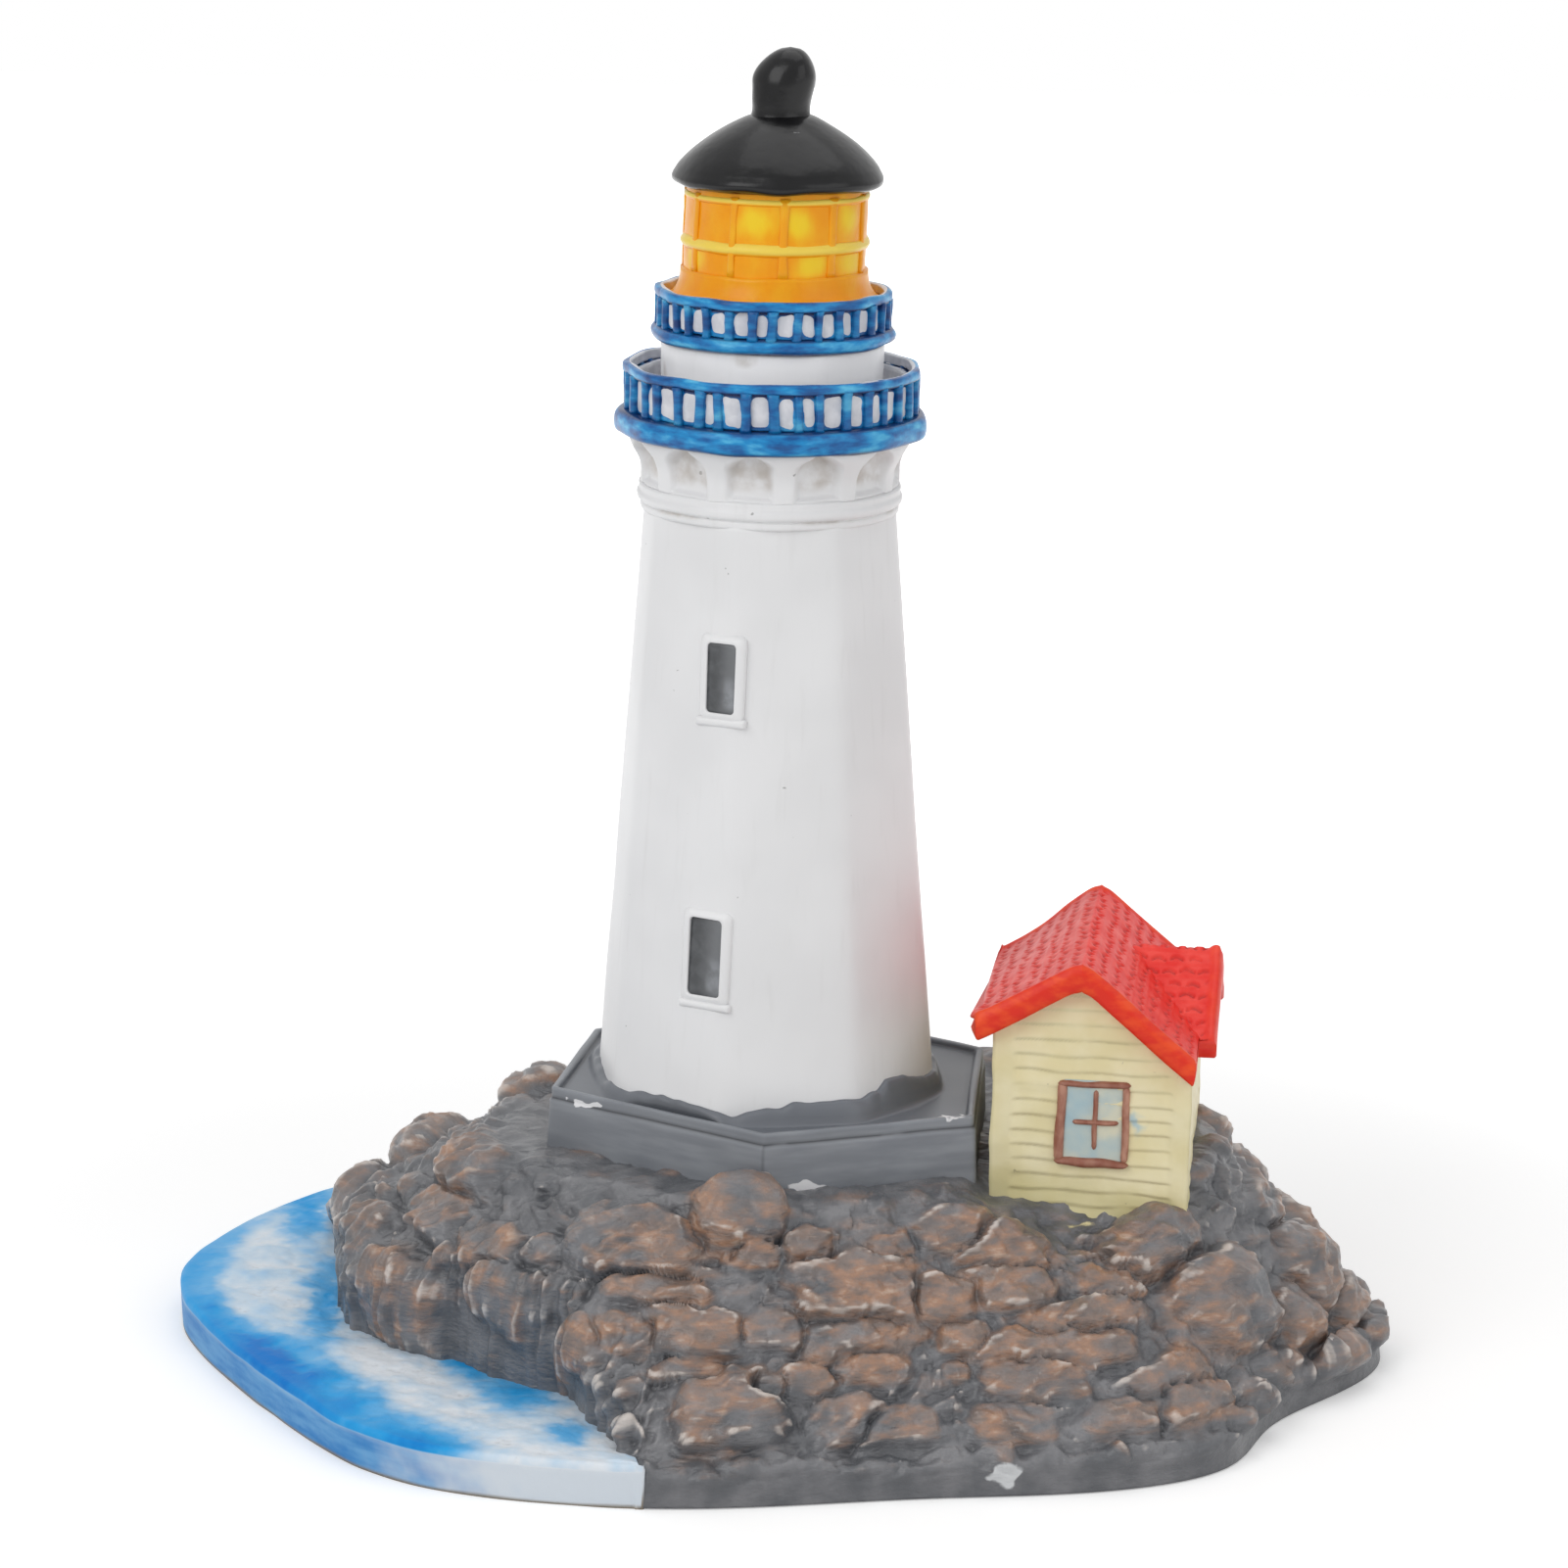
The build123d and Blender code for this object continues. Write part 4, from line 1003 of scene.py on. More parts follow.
def plinth_surface(columns=540):
    """Rows of distance and height: outside, curb, floor and mortar."""
    azimuth = np.linspace(0, TURN, columns, endpoint=False)
    edge = plinth_reach(azimuth)
    wall = shaft_radius(azimuth, foot_z)
    ring = np.stack([np.sin(azimuth), np.cos(azimuth), 0 * azimuth], -1)
    floor_level = plinth_top - 0.6
    mortar = np.interp(azimuth, np.radians(mortar_turns), mortar_levels, period=TURN) - floor_level
    mortar = np.maximum(mortar + 0.25 * lattice_noise(20 * ring, 1.8, 102), 0.15)
    outside = [(-6, plinth_foot), (0.5, plinth_foot)]
    side_height = plinth_top - 1.6 - plinth_foot
    outside += [(0.5 - 0.3 * share, plinth_foot + side_height * share) for share in np.linspace(0.05, 1, 22)]
    curb = [(0.08, -1.42), (-0.05, -1.25), (0.12, -1.1), (0.22, -0.85), (0.22, -0.4), (0.12, -0.12), (-0.15, 0),
            (-0.6, 0), (-0.85, -0.1), (-1.0, -0.35)]
    outside += [(off, plinth_top + level) for off, level in curb] + [(-1.15, floor_level)]
    rows = [(edge + off, height + 0 * azimuth) for off, height in outside]
    inner = np.minimum(wall + 1.3, edge - 1.25)
    rows += [(edge - 1.2 + (inner - edge + 1.2) * share, floor_level + 0 * azimuth)
             for share in np.linspace(0.05, 1, 7)]
    for off, share in ((1.05, 0.12), (0.85, 0.4), (0.6, 0.7), (0.35, 0.92), (0.05, 1.0), (-1.2, 1.0)):
        rows.append((np.minimum(wall + off, inner - 0.05), floor_level + mortar * share))
    radius = np.minimum.accumulate(np.stack([row[0] for row in rows])[2:], axis=0)
    radius = np.concatenate([np.stack([rows[0][0], rows[1][0]]), radius])
    height = np.stack([row[1] for row in rows])
    return np.stack([radius * np.sin(azimuth), -radius * np.cos(azimuth), height], axis=-1)


# %% Plinth paint
def grey_paint():
    """Grey in flat strokes, darker on the floor, with dark painted shadow in the grooves, and white chips."""
    material, tree, shader = paint("plinth_grey")
    strokes = between(tree, grain(tree, 2.2, 3, (4, 4, 0.7)), 0.3, 0.72)
    colour = layer(tree, strokes, rgb(120, 124, 131), rgb(140, 144, 150))
    cloud = between(tree, grain(tree, 9, 2, shift=1.2), 0.35, 0.7)
    colour = layer(tree, thin(tree, cloud, 0.4), colour, rgb(114, 117, 122))
    colour = layer(tree, thin(tree, mark(tree, "floor"), 0.85), colour, rgb(98, 102, 109))
    # Dark painted shadow under the curb's lip and inside the curb, and a fainter dark line down the front corner.
    line = combine(tree, "MULTIPLY", mark(tree, "groove"), between(tree, grain(tree, 4, 2), 0.1, 0.45))
    colour = layer(tree, line, colour, rgb(50, 52, 57))
    chip = combine(tree, "ADD", mark(tree, "chip"), thin(tree, grain(tree, 1.0, 3, (3, 3, 0.7)), 0.6))
    colour = layer(tree, between(tree, chip, 0.82, 0.92), colour, rgb(226, 226, 228))
    coat(tree, shader, colour, 0.40, grain(tree, 1.2, 4, (3, 3, 0.8)), 0.12, 0.2)
    return material


plinth_grey = grey_paint()

# %% Plinth
plinth_points = plinth_surface()
# Where the dark painted shadow lines go: under the curb's lip, down the front corner below it, and inside the curb.
plinth_groove = np.exp(-((plinth_points[..., 2] - plinth_top + 1.25) / 0.16) ** 2)
plinth_turn, plinth_distance = polar(plinth_points)
plinth_groove *= plinth_distance > plinth_reach(plinth_turn) - 0.6
below_curb = 1 - ease(plinth_points[..., 2], plinth_top - 1.5, plinth_top - 1.2)
plinth_groove += 0.35 * below_curb * np.exp(-(plinth_turn * plinth_distance / 0.14) ** 2)
inside_curb = plinth_reach(plinth_turn) - plinth_distance
plinth_floor = ease(inside_curb, 0.4, 1.1)
plinth_groove += 0.6 * np.exp(-((inside_curb - 1.15) / 0.22) ** 2)
plinth_chips = [(603, 1129, 17, 4, 1.0), (588, 1124, 10, 4, 0.8), (828, 1212, 25, 7, 1.1), (972, 1140, 26, 4, 0.7)]
plinth_chip = spots(plinth_points, plinth_chips) * (plinth_points[..., 1] < 5)
plinth_points = hand_cast(plinth_points, 0.09, 6, 103)
plinth_shell = shell(plinth_points, groove=plinth_groove, chip=plinth_chip, floor=plinth_floor)
make_piece("foundation", [plinth_shell], plinth_grey, ["plinth"])

# %% [markdown]
# ## Cottage
# The cottage is turned a little towards the tower, so its points are given across, deep and up from its left front
# foot. Two formulas say how high the undersides of its roofs are, and the walls and the roofs share them.

# %% Cottage frame
walls_low = span("cottage_walls")[0]
cottage_turn = np.radians(-7)
cottage_width, cottage_depth = 22.0, 32.0
cottage_x = np.array([np.cos(cottage_turn), np.sin(cottage_turn), 0.0])
cottage_y = np.array([-np.sin(cottage_turn), np.cos(cottage_turn), 0.0])
board_proud = 0.15
cottage_origin = np.array([walls_low[0] + board_proud, walls_low[1] + board_proud - cottage_width * cottage_x[1],
                           walls_low[2]])
ridge_x, ridge_rise = 9.6, 29.5
left_pitch, right_pitch, wing_pitch = np.tan(np.radians((30, 40, 32)))
wing_ridge_y, wing_half_width = 21.0, 11.5
eave_droop = 2.0
wing_ridge_rise = ridge_rise - (cottage_width - ridge_x) * right_pitch + wing_half_width * wing_pitch


def cottage(points):
    """Place of points given across, deep and up from the cottage's left front foot."""
    return cottage_origin + points[..., :1] * cottage_x + points[..., 1:2] * cottage_y + points[..., 2:] * (0, 0, 1)


def roof_line(across, deep):
    """Height of the main roof's underside above the cottage's foot. The left eave droops towards the back."""
    slope = np.where(across < ridge_x, (ridge_x - across) * left_pitch, (across - ridge_x) * right_pitch)
    return ridge_rise - slope - eave_droop * ease(deep, 8, 34) * ease(ridge_x - across, 0, ridge_x)


def wing_line(deep):
    """Height of the wing roof's underside."""
    return wing_ridge_rise - np.abs(deep - wing_ridge_y) * wing_pitch


# %% [markdown]
# ## Cottage walls
# The walls are cream clapboard with smooth corner boards. Boards could be modelled one by one. On a casting this small
# they are shallow steps in one wall, so the wall is a grid of perimeter by height: a saw-tooth of the height gives the
# lapped boards, and it fades out towards the corners.


# %% Cottage wall paint
def cream_paint():
    """Cream with a green tinge near the ground, painted shadow lines under the boards, specks and a smear of blue."""
    material, tree, shader = paint("cottage_cream")
    cloud = between(tree, grain(tree, 4, 3), 0.3, 0.7)
    colour = layer(tree, cloud, rgb(228, 216, 168), rgb(236, 226, 186))
    # A greener, darker tint towards the ground.
    damp = combine(tree, "ADD", mark(tree, "low"), thin(tree, grain(tree, 3, 3), 0.5))
    colour = layer(tree, thin(tree, between(tree, damp, 0.8, 1.3), 0.4), colour, rgb(196, 186, 118))
    # Painted shadow under the lap of each board.
    line = combine(tree, "MULTIPLY", mark(tree, "line"), between(tree, grain(tree, 2.5, 3, (2, 2, 1)), 0.3, 0.65))
    colour = layer(tree, thin(tree, line, 0.4), colour, rgb(190, 174, 134))
    dirt = between(tree, grain(tree, 1.3, 2, shift=2.2), 0.74, 0.79)
    colour = layer(tree, thin(tree, dirt, 0.5), colour, rgb(120, 108, 84))
    colour = layer(tree, between(tree, mark(tree, "blue"), 0.2, 1.0), colour, rgb(172, 198, 204))
    coat(tree, shader, colour, 0.42, grain(tree, 1.0, 3, (3, 3, 1)), 0.12, 0.35)
    return material


cottage_cream = cream_paint()

# %% Cottage walls
board_pitch = 1.75
corner_board = 1.9


def cottage_wall_surface(rows=130):
    """Walls: position round the rectangle by share of the wall's height, pushed out by boards that lap downwards."""
    house_corners = [(0, 0), (cottage_width, 0), (cottage_width, cottage_depth), (0, cottage_depth)]
    corners = [(0, 0), (ridge_x, 0), (cottage_width, 0), (cottage_width, wing_ridge_y),
               (cottage_width, cottage_depth), (ridge_x, cottage_depth), (0, cottage_depth), (0, 0)]
    sides = [np.linspace(start, end, 44, endpoint=False) for start, end in zip(corners[:-1], corners[1:])]
    plan = np.concatenate(sides)
    top = roof_line(plan[:, 0], plan[:, 1]) + 0.5
    on_right = np.isclose(plan[:, 0], cottage_width)
    top = np.where(on_right, np.maximum(top, wing_line(plan[:, 1]) + 0.5), top)
    share = np.linspace(0, 1, rows)[:, None]
    rise = share * top
    from_corner = np.minimum.reduce([np.hypot(*(plan - corner).T) for corner in house_corners])
    place = np.stack([plan[:, 0] + 0 * rise, plan[:, 1] + 0 * rise, rise], axis=-1)
    wobble = 0.25 * lattice_noise(place, 4, 111)
    board = (rise + wobble) / board_pitch % 1
    fade = ease(from_corner + 1.2 * wobble, corner_board - 0.1, corner_board + 0.5)
    fade = fade * ease(lattice_noise(place * (1, 1, 2), 5, 112), -0.9, -0.2)
    push = fade * 0.25 * (1 - board) * ease(board, 0.0, 0.16) + (1 - fade) * 0.22
    push = push + 0.08 * lattice_noise(place, 2.2, 113)
    middle = np.array([cottage_width, cottage_depth]) / 2
    unit = (plan - middle) / middle
    outside = np.abs(unit) > 0.9999
    moved = middle + unit * middle + np.sign(unit) * outside * push[..., None]
    # Where the painted shadow line goes: just under each board's lap, fading towards the corners.
    line = fade * np.exp(-((board - 0.05) / 0.10) ** 2)
    return np.concatenate([moved, rise[..., None]], axis=-1), line


wall_points, board_line = cottage_wall_surface()
low_tint = 1 - ease(wall_points[..., 2] + 0.12 * wall_points[..., 0], 5.5, 12.5)
wall_points = hand_cast(cottage(wall_points), 0.10, 5, 114)
blue_smears = [(1162, 1146, 7, 15, 0.9)]
blue_smear = spots(wall_points, blue_smears) * (wall_points[..., 1] < -10)
make_piece("cottage_boards", [shell(wall_points, line=board_line, low=low_tint, blue=blue_smear)], cottage_cream,
           ["cottage_walls"])


# %% [markdown]
# ## Cottage roofs
# Two thick red slabs cover the cottage: a lopsided main roof and a cross gable on the right. A slab could be a box with
# shingles cut into it. Here one closed section, over the top and back underneath, is carried from eave to eave, and a
# pattern by row and column presses a short bowed mark into each shingle.


# %% Cottage roof paint
def red_paint():
    """Deep red, with a paler painted sheen of reflected light on the left slope, dark shingle marks and a painted
    highlight on the verges.
    """
    material, tree, shader = paint("cottage_red")
    wash = between(tree, grain(tree, 2.2, 4), 0.3, 0.75)
    deep = layer(tree, wash, rgb(228, 34, 24), rgb(240, 66, 54))
    # Paler red for the painted sheen of reflected light.
    pale = layer(tree, wash, rgb(218, 56, 48), rgb(232, 94, 86))
    colour = layer(tree, mark(tree, "pale"), deep, pale)
    dash = combine(tree, "MULTIPLY", mark(tree, "dash"), between(tree, grain(tree, 1.4, 3), 0.25, 0.6))
    colour = layer(tree, thin(tree, dash, 0.6), colour, rgb(146, 30, 28))
    # Painted highlight along the verges and on the underside of the slabs.
    bright = layer(tree, between(tree, grain(tree, 1.2, 3, (2, 2, 1)), 0.35, 0.7), rgb(224, 44, 24), rgb(238, 78, 32))
    colour = layer(tree, mark(tree, "verge"), colour, bright)
    coat(tree, shader, colour, 0.42, grain(tree, 0.8, 3), 0.12, 0.35, 0.3)
    return material


cottage_red = red_paint()

# %% Roof slabs
roof_thickness = 2.8
shingle_pitch = 1.9
shingle_width = 2.1


def slab_section(start, end, thickness, count=150):
    """Closed section of a roof slab: over the top from one verge to the other, and back underneath. Position, rise and
    whether it is the top."""
    corner = 0.9
    turn = np.linspace(0, TURN / 4, 6)
    top = np.linspace(start + corner, end - corner, count)
    first = np.stack([start + corner - corner * np.cos(turn), thickness - corner + corner * np.sin(turn)], -1)
    last = np.stack([end - corner + corner * np.sin(turn), thickness - corner + corner * np.cos(turn)], -1)
    under = np.linspace(end - 0.2, start + 0.2, 14)
    over = np.stack([top[1:-1], 0 * top[1:-1] + thickness], axis=-1)
    back = np.stack([under, 0 * under], axis=-1)
    section = np.concatenate([[(start, 0.25), (start, 0.9)], first, over, last, [(end, 0.9), (end, 0.25)], back])
    return section, section[:, 1] > thickness - 0.35


def slab_surface(path, section, on_top, eave_run, seed):
    """Slab carried along its path from eave over the ridge to the other eave. Shingle marks press into the top."""
    along = section[:, 0] + 0 * path
    lift = section[:, 1] + 0 * path
    row = np.floor(eave_run / shingle_pitch)[:, None]
    in_row = (eave_run / shingle_pitch)[:, None] - row
    rng = np.random.default_rng(seed)
    offsets = rng.uniform(0, 1, int(row.max()) + 2)[row.astype(int)] * 0.35 + 0.5 * (row % 2)
    column = np.floor(along / shingle_width + offsets)
    in_column = along / shingle_width + offsets - column
    shift = rng.uniform(-0.16, 0.16, (64, 64))[row.astype(int) % 64, column.astype(int) % 64]
    length = rng.uniform(0.30, 0.46, (64, 64))[row.astype(int) % 64, column.astype(int) % 64]
    bow = 0.14 * np.sin(TURN * (in_column - 0.2))
    dash = np.exp(-((in_row - 0.45 - shift - bow) / 0.13) ** 2)
    dash = dash * (1 - ease(np.abs(in_column - 0.5), length - 0.1, length + 0.06))
    verge = np.minimum(along - section[:, 0].min(), section[:, 0].max() - along)
    clear = ease(verge, 1.2, 2.0) * on_top
    rim = (1 - ease(verge, 0.7, 1.9)) * on_top * 0.38
    lift = lift + rim - 0.30 * dash * clear + 0.12 * (1 - in_row) * clear
    # The last value says where the painted highlight goes: along the verges of the top, and all over the underside.
    return along, lift, dash * clear, np.where(on_top, 1 - ease(verge, 1.1, 1.7), 1.0)


def soft_ends(points):
    """Round the first and last rows of a slab by drawing them towards their middle line."""
    rows = len(points)
    for index, share in ((0, 0.5), (1, 0.82), (2, 0.95)):
        for side in (index, rows - 1 - index):
            middle = points[side].mean(axis=0)
            points[side, :, 2] = middle[2] + (points[side, :, 2] - middle[2]) * share
    return points


# %% Cottage roofs
overhang = 2.0
right_eave = cottage_width + 0.5
wing_tuck = 1.6


def main_roof():
    """Lopsided roof: the path goes up the left slope and down the right."""
    across = np.concatenate([np.linspace(-overhang, ridge_x, 80), np.linspace(ridge_x, right_eave, 101)[1:]])
    section, on_top = slab_section(-overhang, cottage_depth + overhang, roof_thickness)
    steep = np.where(across < ridge_x, np.hypot(1, left_pitch), np.hypot(1, right_pitch))
    run = np.where(across < ridge_x, across + overhang, right_eave - across) * steep
    base = roof_line(across[:, None], section[:, 0])
    along, lift, dash, verge = slab_surface(across[:, None], section, on_top, run, 121)
    sag = -0.35 * np.exp(-((across - ridge_x) / 0.8) ** 2)[:, None]
    eave_lump = np.exp(-(across[:, None] + overhang) ** 2 - ((along - 0.4) / 1.8) ** 2)
    points = np.stack([across[:, None] - 0.9 * eave_lump, along, base + lift + sag], axis=-1)
    # The left slope carries the paler painted sheen.
    return soft_ends(points), dash, verge, (across < ridge_x - 0.2)[:, None] * 1.0


def wing_roof():
    """Cross gable on the right: the path goes up its front slope and down the back, and it runs into the main roof.
    Indoors it stops short of the back wall."""
    reach = wing_half_width + 0.6
    deep = wing_ridge_y + np.linspace(-reach, reach, 141)
    start = 11.0
    section, on_top = slab_section(start, cottage_width + 2.6, roof_thickness - 0.4, 100)
    run = (reach - np.abs(deep - wing_ridge_y)) * np.hypot(1, wing_pitch)
    base = wing_line(deep)
    along, lift, dash, verge = slab_surface(deep[:, None], section, on_top, run, 122)
    # The wing's painted verge highlight is weaker and only near its outer end.
    verge = 0.4 * verge * (along > cottage_width - 4)
    points = np.stack([along, deep[:, None] + 0 * along, base[:, None] + lift], axis=-1)
    indoors = points[..., 0] < cottage_width
    points[..., 1] = np.where(indoors, np.minimum(points[..., 1], cottage_depth - wing_tuck), points[..., 1])
    # A little of the paler painted sheen on the wing roof.
    return soft_ends(points), dash, verge, 0.15


roofs = (("cottage_main_roof", "cottage_roof", main_roof(), 123),
         ("cottage_cross_roof", "cottage_wing_roof", wing_roof(), 126))
for name, node_name, (points, dash, verge, pale), seed in roofs:
    points = hand_cast(cottage(points), 0.14, 4, seed)
    make_piece(name, [shell(points, dash=dash, verge=verge, pale=pale)], cottage_red, [node_name])

# %% [markdown]
# ## Cottage window
# The window was painted by a few strokes of brown over a shallow relief: two stiles, a darker head, a sill shaped like
# a lens, and a cross that stops short of the frame. Each stroke is a flat oval carried along a line on the wall.


# %% Cottage window paints
def brown_paint():
    """Brown brushed thin, and darker where the mark dark says."""
    material, tree, shader = paint("window_brown")
    wash = between(tree, grain(tree, 1.1, 3, (1, 1, 2)), 0.3, 0.72)
    colour = layer(tree, wash, rgb(146, 88, 68), rgb(188, 138, 116))
    colour = layer(tree, mark(tree, "dark"), colour, rgb(126, 68, 50))
    coat(tree, shader, colour, 0.4, grain(tree, 0.8, 3), 0.1, 0.4)
    return material


def pane_paint():
    """Pale blue that fades to cream."""
    material, tree, shader = paint("window_pale_blue")
    fade = between(tree, grain(tree, 4.0, 2), 0.3, 0.75)
    colour = layer(tree, fade, rgb(166, 192, 200), rgb(218, 216, 192))
    coat(tree, shader, colour, 0.3, grain(tree, 0.9, 2), 0.1, 0.3)
    return material


window_brown = brown_paint()
window_pale_blue = pane_paint()


# %% Cottage window
def stroke(start, end, width, proud, seed, swell=0.0):
    """Flat oval section carried from start to end on the front wall, given across and up. Its ends taper."""
    start, end = np.array(start, float), np.array(end, float)
    share = np.linspace(0, 1, 30)
    line = start + (end - start) * share[:, None]
    side = np.array([end[1] - start[1], start[0] - end[0]]) / np.hypot(*(end - start))
    taper = np.minimum(np.minimum(share, 1 - share) / 0.06, 1) ** 0.5 + 0.02
    half = width / 2 * taper * (1 + swell * (4 * share * (1 - share) - 1))
    turn = np.linspace(0, TURN, 16, endpoint=False)
    off = half[:, None] * np.cos(turn)
    depth = -proud * np.sin(turn) * taper[:, None]
    flat = line[:, None] + off[..., None] * side
    local = np.stack([flat[..., 0], depth - 0.15, flat[..., 1]], axis=-1)
    return hand_cast(cottage(local), 0.12, 2.0, seed)


sash_low, sash_high = span("cottage_window_frame")
sash_foot, sash_head = sash_low[2] - cottage_origin[2], sash_high[2] - cottage_origin[2]
sash_x = 11.2
left_x, right_x = sash_x - 3.7, sash_x + 3.7
# A stroke: its surface and how dark it is.
strokes = [
    (stroke((left_x, sash_foot + 0.4), (left_x + 0.2, sash_head - 0.3), 1.05, 0.5, 131), 0.1),
    (stroke((right_x + 0.1, sash_foot + 0.5), (right_x, sash_head - 0.4), 0.8, 0.45, 132), 0.0),
    (stroke((left_x - 0.3, sash_head - 0.7), (right_x + 0.5, sash_head - 0.6), 0.75, 0.5, 133), 0.55),
    (stroke((left_x - 0.6, sash_foot + 0.6), (right_x + 0.5, sash_foot + 0.5), 1.15, 0.65, 134, 0.5), 0.5),
    (stroke((sash_x + 0.25, sash_foot + 2.0), (sash_x + 0.35, sash_head - 1.2), 0.6, 0.4, 135), 0.1),
    (stroke((left_x + 1.4, sash_foot + 5.4), (right_x - 0.7, sash_foot + 5.3), 0.6, 0.44, 136), 0.35),
]
stroke_shells = [shell(points, dark=dark) for points, dark in strokes]
make_piece("cottage_sash", stroke_shells, window_brown, ["cottage_window_frame"])
pane_middle = cottage(np.array([sash_x + 0.05, -0.02, (sash_foot + sash_head) / 2 + 0.1]))
glass_rings = [(0.1, -0.9, 0.4), (0.0, 0.10, 0.4), (0.15, 0.22, 0.4), (0.8, 0.24, 0.3), (2.0, 0.2, 0.2)]
pane = ringed_block(pane_middle, cottage_x, np.array([0.0, 0.0, 1.0]), -cottage_y, np.array([3.5, 4.9]), glass_rings)
make_piece("cottage_glass", [shell(hand_cast(pane, 0.1, 2, 137))], window_pale_blue,
           ["cottage_window_panes"])

# %% [markdown]
# ## Island outlines
# The island is drawn with a few lines seen from above: its foot, the foot and top of the mound, and the shore where the
# sea begins. Each line is a smooth curve through listed points. The slope of the mound runs straight from its foot line
# to its top line, and a distance by azimuth about one centre lets the rock and the sea share the lines.

# %% Island outlines
island_centre = np.array([6.0, -5.0])
island_line = [(72, -7), (65, -18), (57, -28), (52, -39), (41, -46), (18, -50), (-8, -54), (-26, -52.5), (-40, -47),
               (-52, -33), (-61, -18), (-68.5, 4), (-63, 22), (-52, 36), (-24, 40), (12, 40), (46, 35), (66, 15)]
mound_foot_line = [(69, -4), (57, -26), (43, -43), (16, -47), (-18, -50), (-46, -27), (-64, 4), (-50, 30), (8, 34.5),
                   (52, 26)]
mound_top_line = [(52, 2), (49.5, -11), (38, -15.5), (18, -25), (-6, -28), (-26, -16), (-29, 3), (-24, 16), (4, 29),
                  (42, 18)]
shore_line = [(-53, 38), (-52, 24), (-49, 6), (-47.5, -12.5), (-34, -23), (-21, -33), (-14.5, -47.5), (-13.5, -56)]
lip_level, terrace_level, sea_level = 4.0, 25.5, 5.0


# %% Island curves
def closed_curve(corners, count=1600):
    """Smooth closed line through its corners: cubics, with slopes solved so that the bend runs on at each corner."""
    corners = np.array(corners, float)
    chord = np.roll(corners, -1, axis=0) - corners
    length = np.linalg.norm(chord, axis=1)
    before = np.roll(length, 1)
    slope = chord / length[:, None]
    unit = np.eye(len(corners))
    system = (np.diag(2 * (before + length)) + length[:, None] * np.roll(unit, -1, axis=1)
              + before[:, None] * np.roll(unit, 1, axis=1))
    tangent = np.linalg.solve(system, 3 * (length[:, None] * np.roll(slope, 1, axis=0) + before[:, None] * slope))
    knots = np.concatenate([[0], np.cumsum(length)])
    run = np.arange(count) / count * knots[-1]
    index = np.searchsorted(knots, run, side="right") - 1
    part = ((run - knots[index]) / length[index])[:, None]
    leave = (part**3 - 2 * part**2 + part) * tangent[index]
    arrive = (part**3 - part**2) * tangent[(index + 1) % len(corners)]
    return corners[index] + part**2 * (3 - 2 * part) * chord[index] + length[index, None] * (leave + arrive)


def reach_by_azimuth(line):
    """Distance of a line from the island's centre as a function of azimuth."""
    off = line - island_centre
    turn = np.arctan2(off[:, 0], -off[:, 1])
    order = np.argsort(turn)
    return lambda azimuth: np.interp(azimuth, turn[order], np.hypot(*off[order].T), period=TURN)


foot_points, top_points = closed_curve(mound_foot_line), closed_curve(mound_top_line)
island_reach = reach_by_azimuth(closed_curve(island_line))
level_reaches = [reach_by_azimuth(foot_points + (top_points - foot_points) * share) for share in np.linspace(0, 1, 9)]
shore_offsets = np.array(shore_line) - island_centre
shore_turns = np.arctan2(shore_offsets[:, 0], -shore_offsets[:, 1])
shore_distances = np.hypot(*shore_offsets.T)


def shore_reach(azimuth):
    """Distance of the shore where there is sea, and a large number elsewhere."""
    turn = (azimuth + np.pi) % TURN - np.pi
    inside = (turn > shore_turns[0]) & (turn < shore_turns[-1])
    return np.where(inside, np.interp(turn, shore_turns, shore_distances), 1e3)


def mound_height(radius, azimuth):
    """Height of the bare mound: a level lip, a straight slope and a level terrace. The share of the slope climbed is
    the mean of the shares climbed in its bands."""
    lines = [reach(azimuth) for reach in level_reaches]
    bands = [np.clip((low - radius) / (low - high), 0, 1) for low, high in zip(lines, lines[1:])]
    return lip_level + (terrace_level - lip_level) * np.mean(bands, axis=0)


def island_points(radius, azimuth, height):
    """Points by distance and azimuth about the island's centre."""
    return np.stack([island_centre[0] + radius * np.sin(azimuth), island_centre[1] - radius * np.cos(azimuth),
                     height + 0 * radius], axis=-1)


# %% [markdown]
# ## Bare mound
# The mound without its stones is a grid that runs round the island: an underside, an upright lip or shore cliff, the
# slope and the level terrace. Its columns crowd together at the front, where the photograph looks, and averaging the
# rows a few times rounds the edges.


